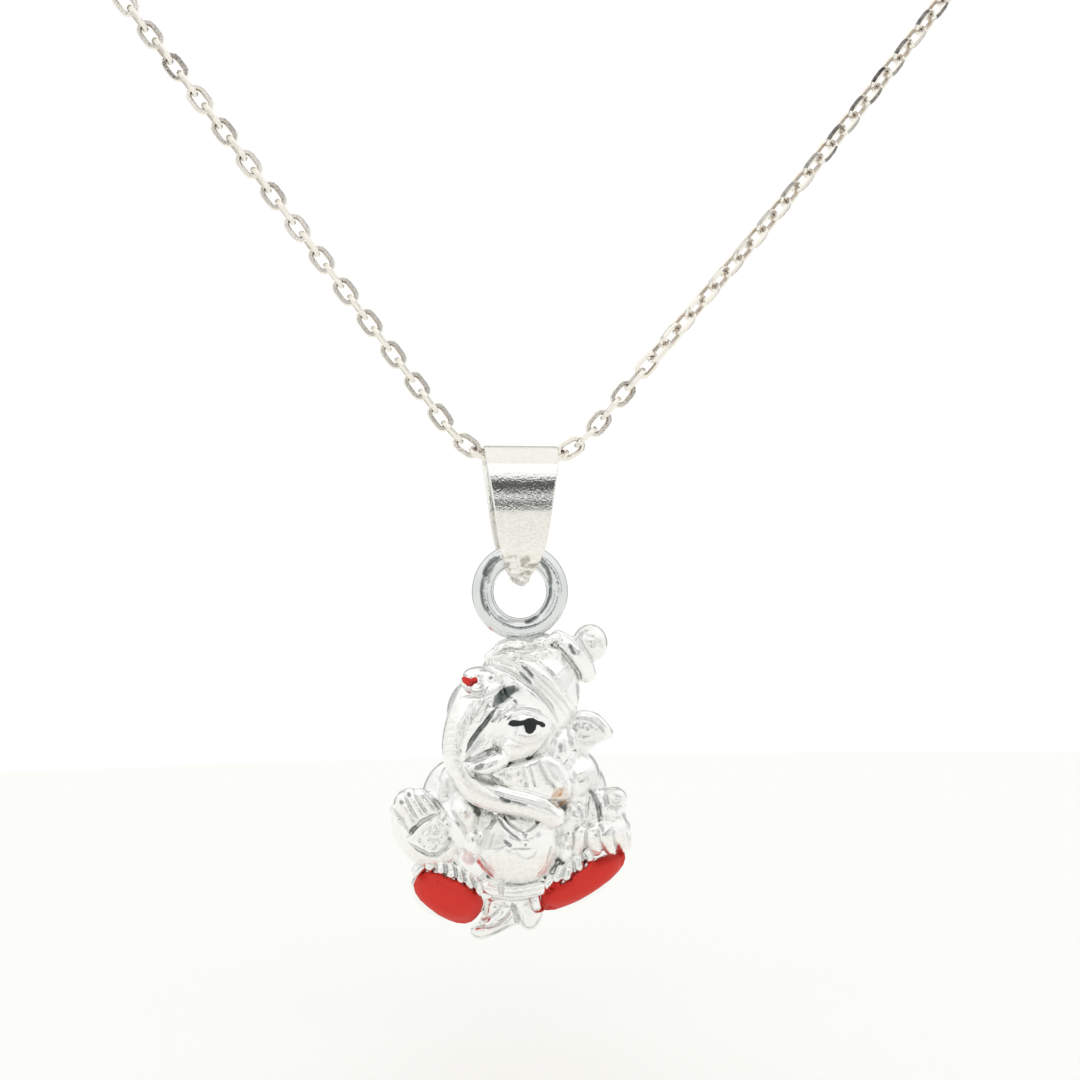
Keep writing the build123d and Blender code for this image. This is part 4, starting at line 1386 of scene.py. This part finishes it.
# %% Belly
belly_forms = [
    Relief(4.4, 1.75, 34, [(476, 846), (473.5, 857), (480, 868.5), (490, 878.5), (503.5, 884.5),
        (521.5, 886), (538.5, 881.5), (550, 874), (557, 863.5), (560.5, 853), (562, 840),
        (561, 828), (548, 812), (520, 806), (496, 812), (482, 828)]),
    Lump(489, 824, 3.4, 27, 24, 1.7, 0),
]
belly_marks = [
    Mark(2, 0.11, 0, 0, [(500, 815), (507, 825), (515, 832.5), (524, 838)]),
    Mark(1.8, -0.09, 0, 0.8, [(497, 816), (504, 827), (512, 834.5), (521, 840.5)]),
    Mark(2, 0.11, 0, 0, [(543, 819), (539, 827), (533, 833), (527, 837)]),
    Mark(1.8, -0.09, 0, 0.6, [(540, 817), (536, 824.5), (530, 830), (525, 833)]),
    Mark(1.8, -0.09, 0, 0.6, [(503, 814), (510, 823.5), (517, 829), (523, 833)]),
    Mark(4, 0.14, 0, 0, [(524.5, 842), (526, 846)]),
    Mark(1.6, -0.05, 0, 0.8, [(525, 843), (526, 846)]),
    Mark(1.8, -0.045, 0.2, 0.15, [(515, 848), (517.5, 853), (522, 857), (527, 858.5), (533, 856),
        (538.4, 849)]),
    Mark(1.8, -0.03, 0.1, 0.05, [(510, 847.5), (525, 848), (541, 847)]),
    Mark(2.2, -0.04, 0.1, 0.2, [(552, 845), (550.5, 853), (547.5, 861)]),
    Mark(1.8, -0.05, 0, 0.3, [(489, 850), (491.5, 840), (494.5, 832)]),
    Mark(1.8, -0.05, 0, 0.3, [(485, 849), (496, 849), (506, 846)]),
    Mark(2, -0.06, 0, 0.8, [(504, 840), (509, 844), (512, 846)]),
    Mark(2, -0.03, 0, 0, red_line, red=1),
]
belly_patches = [
    Patch(-0.06, 0.06, 0.3, 0.1, 4, [(506, 813), (537, 815), (540, 821), (525, 832), (514, 827)]),
    Patch(0, 0.01, 0.85, 0, 10, [(487, 852), (512, 852), (527, 861), (540, 852), (557, 852),
        (550, 874), (518, 885), (492, 876)]),
    Patch(0, 0.02, 0.5, 0.14, 6, [(472, 836), (478, 812), (494, 808), (502, 828), (508, 846),
        (480, 850)]),
]
cast("belly", belly_forms, belly_marks, belly_patches, voxel=0.058, inset=0.12)

# %% [markdown]
# One hand is raised with its palm to the viewer, and the other rests on the knee with its fingers
# hanging. Each finger is its own roll of wax, so the lines between them stay crisp.

# %% Hands
hand_forms = [
    Lump(428, 834, 3.8, 42, 30, 1.7, -48),
    Relief(3.9, 1.0, 12, [(391.5, 812), (394, 799), (400, 790.5), (409, 787), (420, 789),
        (430, 795), (437, 806), (447, 812), (457, 822), (466, 833), (469, 842), (462, 851),
        (452, 859), (441, 865), (430, 867), (419.5, 864), (411, 856), (403, 842), (395, 825)]),
    [Bead(408, 838, 4.6, 6.5), Bead(400, 823, 4.6, 6.5), Bead(396, 810, 4.3, 6)],
    [Bead(416, 829, 4.9, 6.5), Bead(407, 813, 4.9, 6.3), Bead(402, 799, 4.5, 6)],
    [Bead(425, 821, 5.0, 6.5), Bead(416, 806, 5.0, 6.3), Bead(410, 793.5, 4.6, 6)],
    [Bead(434, 813, 5.0, 6.2), Bead(426, 802, 5.0, 6), Bead(420, 794, 4.6, 6)],
    [Bead(441, 812, 4.7, 5.5), Bead(435, 805, 4.7, 5.5), Bead(430, 799, 4.4, 5.5)],
    Lump(602, 806, 3.3, 24, 19, 1.7, 0),
    Lump(614, 798, 4.3, 13, 11.5, 0.85, 0),
    Lump(600, 831, 3.9, 31, 19, 1.7, 8),
    Relief(3.6, 1.25, 9, [(586, 788), (598, 786), (612, 788), (622, 790), (627.5, 797), (624, 807),
        (627, 817), (631, 833), (633, 843), (629, 852), (610, 853), (598, 851), (582, 852),
        (570, 857), (563, 858), (566, 838), (578, 828), (583, 808)]),
    [Bead(570, 836, 4.5, 5.5), Bead(568, 847, 4.5, 5), Bead(566, 857, 4.3, 4)],
    [Bead(580, 832, 5.0, 7), Bead(579, 842, 5.0, 7), Bead(577, 850, 4.7, 6)],
    [Bead(592, 831, 5.1, 7.2), Bead(593, 842, 5.1, 7.2), Bead(596, 850, 4.9, 6)],
    [Bead(606, 830, 5.1, 7.3), Bead(608, 841, 5.1, 7.3), Bead(610, 848, 4.9, 6.5)],
    [Bead(619, 831, 4.9, 7), Bead(622, 840, 4.9, 7), Bead(625, 847, 4.6, 6)],
]
hand_marks = [
    *alike(2, -0.08, 0.2, 0.3,
           [(392, 807), (398, 815), (404, 824), (410, 833)],
           [(404, 795), (408, 804), (413, 813), (419, 822)],
           [(414, 793), (418, 800), (423, 808), (428, 815)],
           [(424, 794), (428, 800), (433, 807), (437, 812)]),
    Mark(3, -0.18, 0.3, 0.35, [(407, 838), (414, 829), (421, 822), (430, 817.5), (441, 813)]),
    Mark(2.5, 0.12, 0, 0, [(409, 842), (417, 831), (425, 825), (434, 820)]),
    Mark(2.5, -0.06, 0, 0.85, [(409, 833), (413, 828.5), (417, 826)]),
    Mark(2.5, -0.06, 0, 0.7, [(400, 801), (403, 804)]),
    Mark(2.5, -0.06, 0, 0.75, [(408, 793), (410, 797)]),
    Mark(2.2, -0.05, 0, 0.6, [(422, 795), (424, 799)]),
    Mark(3, -0.14, 0.3, 0.35, [(408, 842), (417, 849), (428, 855), (438, 855), (446, 848),
        (453, 841), (455, 832)]),
    Mark(3, -0.08, 0, 0.7, [(449, 840), (452, 838)]),
    Mark(3, -0.10, 0, 0.6, [(449, 817), (454, 824), (457, 828)]),
    Mark(3, 0.10, 0, 0, [(445, 818), (450, 827), (459, 836)]),
    *alike(1.8, -0.1, 0.2, 0.3,
           [(573, 832), (573, 842), (571, 851)],
           [(586, 830), (586, 841), (586, 850)],
           [(598, 828), (600, 840), (603.5, 851)],
           [(612, 828), (614.5, 839), (617.5, 850)]),
    Mark(3, -0.12, 0.2, 0.8, [(587, 788), (592, 793), (597, 802), (599, 812), (599, 822)]),
    Mark(3, 0.14, 0, 0, [(590, 786), (597, 791), (602, 801), (604, 812), (603, 822)]),
    Mark(2.5, -0.09, 0, 0.35, [(605, 790), (606, 798), (607, 808)]),
    Mark(2.2, -0.10, 0.2, 0.3, [(607, 806), (615, 809), (623, 806)]),
    Mark(2.2, -0.05, 0.2, 0.3, [(612, 793), (617, 797), (622, 797)]),
    Mark(2.2, -0.05, 0.2, 0.3, [(611, 801), (616, 804), (621, 801)]),
    Mark(2.2, 0.06, 0, 0, [(613, 790), (619, 792)]),
    Mark(2.5, -0.08, 0.2, 0.4, [(586, 822), (590, 826), (594, 825)]),
    Mark(2.5, -0.08, 0.2, 0.5, [(599, 823), (602, 828), (603, 833)]),
    Mark(2.5, 0.08, 0, 0, [(606, 820), (611, 824), (612, 830)]),
    Mark(1.5, 0, 0, 0, [(421, 865), (432, 868), (446, 864), (454, 858)], red=0.5),
    Mark(1.5, 0, 0, 0, [(590, 850), (598, 853), (606, 852)], red=0.6),
]
hand_patches = [
    Patch(-0.10, 0.07, 0.35, 0.06, 5, [(416, 838), (424, 829), (436, 822), (447, 828), (451, 838),
        (440, 851), (425, 850)]),
    Patch(0, 0.01, 0.8, 0, 6, [(399, 832), (406, 845), (420, 855), (438, 858), (456, 848),
        (460, 852), (440, 864), (425, 866), (408, 855)]),
    Patch(0, 0.01, 0.6, 0, 4, [(392, 812), (400, 800), (420, 795), (437, 808), (410, 835)]),
    Patch(0, 0.01, 0.85, 0, 4, [(562, 838), (600, 836), (630, 834), (632, 848), (600, 853),
        (565, 858)]),
    Patch(0, 0.04, 0.3, 0.05, 5, [(575, 820), (600, 812), (628, 815), (630, 830), (575, 832)]),
    Patch(0, 0.03, 0.2, 0.1, 4, [(586, 790), (597, 800), (600, 820), (588, 822), (584, 805)]),
    Patch(0, 0.04, 0.3, 0.08, 4, [(604, 790), (618, 787), (627, 798), (620, 808), (606, 806)]),
]
cast("hands", hand_forms, hand_marks, hand_patches, voxel=0.066, inset=0.06)

# %% [markdown]
# The legs are crossed under the belly. Cloth is gathered above each knee, which is a row of short
# rolls side by side, and the knees themselves are enamelled later.

# %% Legs
leg_forms = [
    Lump(515, 878, 2.2, 84, 31, 2.0, 0),
    Lump(448, 894, 3.3, 38, 24.5, 1.9, -22),
    Lump(581, 879, 3.3, 45, 18.5, 1.9, 27),
    Lump(452, 876, 3.0, 38, 17, 2.0, -22),
    Lump(573, 868, 3.0, 32, 17, 2.0, 25),
    [Bead(421, 866, 4.2, 6), Bead(416, 872, 4.4, 5)],
    [Bead(432, 863, 4.6, 6), Bead(430, 867, 4.8, 5)],
    [Bead(441, 863, 4.8, 5.5), Bead(441, 870, 5.1, 4.5)],
    [Bead(450, 866, 4.9, 5), Bead(451, 874.5, 5.2, 4.5)],
    [Bead(459, 869, 4.9, 5), Bead(461, 879, 5.2, 4.5)],
    [Bead(467, 874, 4.8, 5), Bead(470, 884.5, 5.1, 4.5)],
    [Bead(476, 879, 4.6, 5), Bead(479, 890.5, 4.9, 4.5)],
    [Bead(561, 870, 4.6, 6), Bead(557, 878, 4.8, 5)],
    [Bead(569, 866, 4.8, 6), Bead(567, 876, 5.0, 5)],
    [Bead(578, 859, 4.8, 6), Bead(579, 867, 5.0, 5)],
    [Bead(588, 853, 4.7, 5.5), Bead(590, 858, 4.9, 4.5)],
    [Bead(551, 878, 4.4, 5.5), Bead(547, 885.5, 4.6, 4.5)],
]
leg_marks = [
    Mark(2, 0, 0, 0, red_line, red=1),
    Mark(2, -0.12, 0.2, 0.45, [(445, 863), (446, 869), (446, 875)]),
    Mark(2, -0.12, 0.2, 0.5, [(454, 865), (456, 872), (457, 879)]),
    Mark(2, -0.12, 0.2, 0.6, [(462, 869), (465, 876), (466, 883)]),
    Mark(2, -0.12, 0.2, 0.5, [(471, 876), (474, 883), (475.5, 889)]),
    Mark(2, -0.10, 0.2, 0.3, [(435, 862), (436, 867), (435, 871)]),
    *alike(2.2, -0.10, 0.2, 0.35,
           [(565, 866), (563, 872), (562, 878)],
           [(573, 860), (574, 866), (574, 872)],
           [(583, 853), (585, 858), (586, 862)]),
]
leg_patches = [
    Patch(0, 0.05, 0.25, 0.1, 5, [(412, 862), (450, 862), (482, 880), (482, 895), (455, 884),
        (430, 876), (414, 878)]),
    Patch(0, 0.06, 0.2, 0.1, 5, [(556, 888), (557, 874), (570, 858), (600, 852), (590, 864),
        (572, 880)]),
]
legs = cast("legs", leg_forms, leg_marks, leg_patches, voxel=0.075, inset=0.03)

# %% [markdown]
# A belt crosses under the belly, and the ends of the cloth hang below it in two folded flaps.

# %% Belt and flaps
flap_forms = [
    [Bead(484, 882, 4.2, 6), Bead(503, 886, 4.35, 5.5), Bead(522, 886.5, 4.4, 5.5),
        Bead(541, 881, 4.2, 6)],
    [Bead(484, 887, 4.3, 6), Bead(500, 892, 4.7, 7.3), Bead(519, 893, 4.8, 7.3),
        Bead(540, 888, 4.6, 7)],
    Relief(4.0, 0.8, 6, [(484.5, 882), (500, 887), (521.5, 886.5), (541.5, 881.5), (542.8, 893.5),
        (530, 897.5), (513.5, 900), (500, 899.5), (487, 895.5)]),
    Relief(3.0, 1.1, 12, [(483, 894), (481, 912), (479, 922), (472.5, 926), (469.2, 929.5),
        (470, 934.5), (474.2, 938.8), (481.7, 940.2), (490, 937.6), (503.3, 931), (518.3, 924.8),
        (520, 914), (516, 898)]),
    Relief(3.2, 1.2, 11, [(510, 896), (512.5, 910), (518, 921.7), (521.7, 927.6), (528.3, 931.4),
        (535, 929.4), (540.8, 923), (544.7, 913.5), (544.4, 909.5), (541.4, 908.4), (541.2, 894)]),
    Lump(510, 893, 2.6, 36, 14, 1.9, 0),
    [Bead(478, 931.5, 3.8, 6), Bead(492, 929.5, 4.0, 6.5), Bead(506, 923.5, 4.0, 6),
        Bead(514, 913, 3.9, 5)],
    [Bead(536, 897, 4.0, 4.5), Bead(537, 906, 4.0, 4.5)],
]
flap_marks = [
    Mark(2.5, -0.14, 0.2, 0.3, [(484, 895), (497, 898), (512, 899), (527, 898), (541, 894)]),
    Mark(1.8, -0.10, 0.1, 0.3, [(502.5, 885), (503, 897)]),
    Mark(1.8, -0.10, 0.1, 0.3, [(499, 885), (499.5, 896)]),
    Mark(2, -0.12, 0.3, 0.3, [(512, 900), (513, 908), (517, 922), (522, 930)]),
    Mark(2.2, -0.10, 0.3, 0.3, [(480, 926.5), (489, 927), (498, 924), (506, 917), (511.5, 908)]),
    Mark(2, -0.08, 0.3, 0.4, [(479.4, 920), (489, 918), (496.4, 912.5), (502, 905)]),
    Mark(1.8, 0, 0, 0, [(479, 919), (484, 919), (490, 916)], red=0.5),
    Mark(2, 0.07, 0, 0, [(480, 923.5), (489, 922.5), (497, 919), (505, 911)]),
    Mark(1.8, -0.09, 0.2, 0.25, [(531, 896), (531.5, 904), (534, 911)]),
    Mark(1.8, -0.08, 0.2, 0.25, [(534, 911), (541, 909)]),
    Mark(3, -0.05, 0.1, 0.2, [(503, 902), (504, 906)]),
    Mark(2, -0.04, 0.2, 0.1, [(523, 913), (522, 921), (525, 927)]),
    Mark(1.7, -0.06, 0, 0.5, [(515, 903), (516.5, 912), (520, 921), (524, 926.5), (529, 929),
        (535, 926.5), (539.5, 920), (542.5, 912)]),
    Mark(1.7, -0.06, 0, 0.5, [(471.5, 929), (472, 933.5), (475.5, 937), (482, 938), (490, 935.5),
        (503, 929), (516, 923)]),
]
flap_patches = [
    Patch(0, 0.01, 0.35, 0, 6, [(514, 900), (530, 899), (534, 912), (543, 912), (538, 926),
        (525, 930), (516, 918)]),
    Patch(0, 0.01, 0.35, 0, 6, [(472, 927), (498, 925), (516, 918), (519, 926), (480, 938)]),
    Patch(0, 0.03, 0.4, 0.04, 4, [(480, 884), (515, 890), (541, 886), (541, 893), (510, 897),
        (484, 893)]),
    Patch(0, 0.03, 0.4, 0.04, 4, [(484, 899), (500, 901), (508, 905), (497, 915), (482, 918)]),
]
cast("belt_and_flaps", flap_forms, flap_marks, flap_patches, voxel=0.062, inset=0.09)

# %% [markdown]
# Cold enamel is laid on the casting with a brush: bright red on both knees and in a small mark on
# the forehead, and black on the eye. Its tone and its shine drift slowly over a knee, and its
# skin is faintly uneven.

# %% Enamel materials
tone_scale = 260
skin_scale = 2400
noise_detail = 2
dull_gain = 0.15
skin_height = 0.12
skin_distance = 0.05 * millimetre


def enamel_material(name, color, shade, shine, specular):
    """A painted enamel with slow changes of tone and shine."""
    material = bpy.data.materials.new(name)
    material.use_nodes = True
    tree = material.node_tree
    place = add_node(tree, "ShaderNodeTexCoord").outputs["Object"]
    tones = noise_node(tree, place, tone_scale, noise_detail)
    skin = noise_node(tree, place, skin_scale, noise_detail)
    looks = {
        "Base Color": mix_node(tree, "RGBA", tones, (*color, 1), (*shade, 1)),
        "Roughness": fit_node(tree, tones, Fit(0, 1, shine, shine + dull_gain)),
        "Normal": bump_node(tree, skin, skin_distance, skin_height),
        "Specular IOR Level": specular,
    }
    for socket, value in looks.items():
        feed(tree, tree.nodes["Principled BSDF"].inputs[socket], value)
    return material


red_enamel = enamel_material(
    "red_enamel", (0.66, 0.034, 0.024), (0.58, 0.026, 0.018), shine=0.45, specular=0.25)
black_enamel = enamel_material(
    "black_enamel", (0.014, 0.018, 0.018), (0.008, 0.011, 0.011), shine=0.4, specular=0.35)
print("enamels", red_enamel.name, black_enamel.name)

# %% [markdown]
# Enamel is a skin that follows the metal below and swells a little away from its edge. It could
# be a thickened copy of the metal's faces, but then its rim would be as ragged as they are. So
# each one starts as a fine flat sheet over its outline in the photograph, and every corner is
# dropped along the line of sight on to the silver, and then lifted. Pits are small dents with a
# raised lip, where a bubble has burst.

# %% Laying enamel
sheet_spacing = 0.9
metal_easing = 12
lip_height = 0.05
lip_width = 0.8
pit_depth = 0.06
pit_share = 0.7


def distances_to_metal(sights, flat, carrier):
    """How far the metal is from the eye along each line of sight, in millimetres."""
    tree = BVHTree.FromObject(carrier, bpy.context.evaluated_depsgraph_get())
    hits = [tree.ray_cast(to_frame @ eye, sight)[3] for sight in sights]
    reach = np.array([np.inf if hit is None else hit for hit in hits])
    known = np.flatnonzero(np.isfinite(reach))
    for index in np.flatnonzero(~np.isfinite(reach)):
        reach[index] = reach[known[np.argmin(np.hypot(*(flat[known] - flat[index]).T))]]
    return reach / millimetre


def lay_enamel(name, outline, carrier, material, replaced, rim, crown, swell, pits=()):
    """A skin of enamel: its rim and its crown stand this high over the silver, in millimetres.

    It reaches its full height this many pixels inside its outline."""
    bm = flat_sheet(outline, sheet_spacing)
    bm.verts.ensure_lookup_table()
    flat = np.array([corner.co.to_2d() for corner in bm.verts])
    sights = [(to_frame @ spot(*place, 0) - to_frame @ eye).normalized() for place in flat.tolist()]
    metal = distances_to_metal(sights, flat, carrier)
    joined = [[edge.other_vert(corner).index for edge in corner.link_edges] for corner in bm.verts]
    reach = metal
    for _ in range(metal_easing):
        reach = np.array([0.5 * own + 0.5 * np.mean(reach[others])
                          for own, others in zip(reach, joined)])
    reach = np.minimum(reach, metal)
    depth = inside_outline(flat[:, 0], flat[:, 1], outline)
    lift = rim + (crown - rim) * dome(depth, swell)
    for across, down, size in pits:
        away = np.hypot(flat[:, 0] - across, flat[:, 1] - down)
        lift += lip_height * np.exp(-((away - size) / lip_width) ** 2)
        lift -= pit_depth * np.exp(-(away / (pit_share * size)) ** 2)
    for corner, sight, far in zip(bm.verts, sights, reach - lift):
        corner.co = eye + sight * far
    face_the_viewer(bm)
    mesh = evaluated(mesh_of(bm, name), name, [("SOLIDIFY", {"thickness": rim + crown, "offset": -1})])
    return finished(name, mesh, "pendant", material, replaced)


# %% [markdown]
# Each knee is covered by one generous coat, which stands proud of the silver round it.

# %% Enamel on the knees
left_knee_outline = [
    (413.3, 885), (415.8, 878.3), (421.7, 873.3), (428.3, 871.7), (436.7, 872.8), (443.3, 875),
    (447.5, 877.5), (451.7, 879.2), (456.7, 880.5), (460.8, 883.7), (464.2, 885), (468.3, 888.7),
    (471.7, 889.7), (475.8, 893.3), (480, 895.8), (483, 900), (483.3, 904.2), (480.8, 911.7),
    (476.7, 917.5), (471.7, 921.7), (465, 923.7), (456.7, 923), (448.3, 920), (438.3, 915),
    (428.3, 907.5), (420, 900), (415, 892.5),
]
right_knee_outline = [
    (540.8, 909.2), (541.2, 894.2), (542, 891.3), (546.7, 890), (550.8, 885.8), (553.3, 883),
    (559.2, 882), (560.8, 884.2), (568.3, 881.3), (571.7, 880), (572.5, 876.7), (575.8, 873.3),
    (580, 872), (585.8, 866.7), (589.2, 862.5), (594.2, 860.8), (600, 857.5), (603.3, 855),
    (613.3, 853.3), (620, 852), (624.7, 852.5), (625.3, 858.3), (623.3, 865), (618.3, 871.7),
    (610, 880), (600, 887.5), (590, 894.2), (578.3, 900.8), (566.7, 905.8), (556.7, 909.2),
    (546.7, 910.5),
]
lay_enamel("left_knee_enamel", left_knee_outline, legs, red_enamel,
           "left_leg_enamel", rim=0.06, crown=0.32, swell=9, pits=[(438, 881.7, 1.8)])
lay_enamel("right_knee_enamel", right_knee_outline, legs, red_enamel,
           "right_leg_enamel", rim=0.06, crown=0.32, swell=9,
           pits=[(578, 875.8, 1.4), (592, 861.3, 1.2)])

# %% [markdown]
# The forehead's mark and the eye are single touches of a small brush, so they are thin, and their
# outlines are uneven.

# %% Forehead mark and eye
forehead_outline = [
    (461.7, 677.5), (464.2, 676.3), (467.5, 677.5), (470.8, 678.7), (474.2, 677), (477.2, 677.5),
    (477.5, 680), (474.2, 681.7), (470.8, 683), (469.2, 685.3), (467.5, 686.7), (465.8, 684.7),
    (462.5, 682),
]
eye_outline = [
    (508, 724.7), (510, 720.8), (513.3, 719.7), (520, 720.7), (524, 720), (528.3, 718), (533.3, 718),
    (538.3, 720.8), (542.5, 721.7), (545.5, 724.2), (545, 727), (542.5, 727.5), (539.2, 725),
    (536.7, 724.7), (535.8, 729.2), (532.5, 733.3), (529.2, 734.2), (525.8, 732.5), (524.7, 728.3),
    (523.7, 725.3), (518.3, 726.3), (512.5, 726.7),
]
lay_enamel("forehead_mark", forehead_outline, head, red_enamel, "forehead_enamel",
           rim=0.07, crown=0.15, swell=3)
lay_enamel("eye_paint", eye_outline, head, black_enamel, "eye_enamel",
           rim=0.03, crown=0.1, swell=3)

# %% [markdown]
# The floor is a wide, pale and round table under the pendant. Its far edge is a faint line
# against the backdrop, where the photograph has one.

# %% Floor
floor_color = (0.965, 0.968, 0.945, 1)
floor_roughness = 0.8
floor_sides = 192
floor_drop = 36.0
floor_radius = 420.0
floor_edge = 128.0
floor_shift = Vector((20, floor_edge - floor_radius, 0))


def make_floor():
    bm = bmesh.new()
    bmesh.ops.create_circle(
        bm, cap_ends=True, segments=floor_sides, radius=floor_radius,
        matrix=Matrix.Translation(floor_shift - Vector((0, 0, floor_drop))))
    mesh = mesh_of(bm, "floor")
    mesh.transform(to_frame)
    material = bpy.data.materials.new("floor_paper")
    material.use_nodes = True
    shader = material.node_tree.nodes["Principled BSDF"]
    shader.inputs["Base Color"].default_value = floor_color
    shader.inputs["Roughness"].default_value = floor_roughness
    mesh.materials.append(material)
    floor = bpy.data.objects.new("floor", mesh)
    bpy.context.scene.collection.objects.link(floor)


make_floor()
print("floor", floor_drop, "mm below the chain in the bail")

# %% [markdown]
# The light is a bright studio tent, because polished silver needs something to reflect. A tent
# that is white all round would hide its shape, so some darker cards stand in it, with one bright
# gap between them, as a jewellery photographer sets them. They are part of the world, and only
# reflections see them, so the backdrop stays plain.

# %% Light tent
Card = namedtuple("Card", "azimuth elevation half_across half_up soft light")
tent_color = (1.0, 0.998, 0.985, 1)
tent_top = 1.1
tent_side = 0.95
tent_floor = 0.94
tent_above = Fit(0.1, 0.7, tent_side, tent_top)
tent_below = Fit(-0.4, 0.0, tent_floor / tent_side, 1)
tent_soft = 1.03
backdrop_light = 1.05
rim_light = 0.42
rim_near = 18
rim_far = 42
rim_soft = 8
least_ahead = 0.05
cards = {
    "photographer": Card(7.5, 12.5, 11, 11, 3, 0.1),
    "gap": Card(7.5, 9.0, 16, 1.3, 1.2, 1.15),
    "left_strip": Card(-34, 2, 3, 30, 4, 0.5),
    "right_strip": Card(38, 2, 3, 30, 4, 0.5),
}


def direction_of(azimuth, elevation):
    """Azimuth 0 is in front, where the camera stands, and 90 is the viewer's right."""
    a, e = math.radians(azimuth), math.radians(elevation)
    return Vector((math.sin(a) * math.cos(e), -math.cos(a) * math.cos(e), math.sin(e)))


def dot_node(tree, vector, axis):
    node = add_node(tree, "ShaderNodeVectorMath", operation="DOT_PRODUCT")
    tree.links.new(vector, node.inputs[0])
    node.inputs[1].default_value = axis
    return node.outputs["Value"]


def soft_fit(tree, value, fit):
    return fit_node(tree, value, fit, interpolation_type="SMOOTHSTEP")


def card_mask(tree, look, card):
    """1 inside a card in the tent, falling softly to 0 at its edges."""
    front = direction_of(card.azimuth, card.elevation)
    side = direction_of(card.azimuth + 90, 0)
    ahead = dot_node(tree, look, front)
    inside = math_node(tree, "GREATER_THAN", ahead, least_ahead)
    for axis, half in ((side, card.half_across), (side.cross(front), card.half_up)):
        across = math_node(tree, "ABSOLUTE", dot_node(tree, look, axis))
        slope = math_node(tree, "DIVIDE", across, math_node(tree, "MAXIMUM", ahead, least_ahead))
        edge = soft_fit(tree, slope, Fit(math.tan(math.radians(half)),
                                         math.tan(math.radians(half + card.soft)), 1, 0))
        inside = math_node(tree, "MULTIPLY", inside, edge)
    return inside


def rim_mask(tree, look):
    """1 in a darker band round the backdrop, which edges the silver against the white."""
    behind = dot_node(tree, look, view_forward)
    bounds = [(math.cos(math.radians(angle + rim_soft)), math.cos(math.radians(angle)))
              for angle in (rim_near, rim_far)]
    return math_node(tree, "MULTIPLY", soft_fit(tree, behind, Fit(*bounds[0], 1, 0)),
                     soft_fit(tree, behind, Fit(*bounds[1], 0, 1)))


def make_tent():
    world = bpy.data.worlds.new("light_tent")
    world.use_nodes = True
    bpy.context.scene.world = world
    tree = world.node_tree
    tree.nodes.clear()
    look = add_node(tree, "ShaderNodeTexCoord").outputs["Generated"]
    split = add_node(tree, "ShaderNodeSeparateXYZ")
    tree.links.new(look, split.inputs[0])
    height = split.outputs["Z"]
    light = math_node(tree, "MULTIPLY", soft_fit(tree, height, tent_above),
                      soft_fit(tree, height, tent_below))
    light = mix_node(tree, "FLOAT", rim_mask(tree, look), light, rim_light)
    for card in cards.values():
        light = mix_node(tree, "FLOAT", card_mask(tree, look, card), light, card.light)
    seen = add_node(tree, "ShaderNodeLightPath").outputs
    for ray, strength in (("Is Diffuse Ray", tent_soft), ("Is Camera Ray", backdrop_light)):
        light = mix_node(tree, "FLOAT", seen[ray], light, strength)
    background = add_node(tree, "ShaderNodeBackground")
    background.inputs["Color"].default_value = tent_color
    tree.links.new(light, background.inputs["Strength"])
    output = add_node(tree, "ShaderNodeOutputWorld")
    tree.links.new(background.outputs[0], output.inputs["Surface"])


make_tent()
bpy.context.scene.view_settings.view_transform = "Standard"
print("tent with", len(cards), "cards")
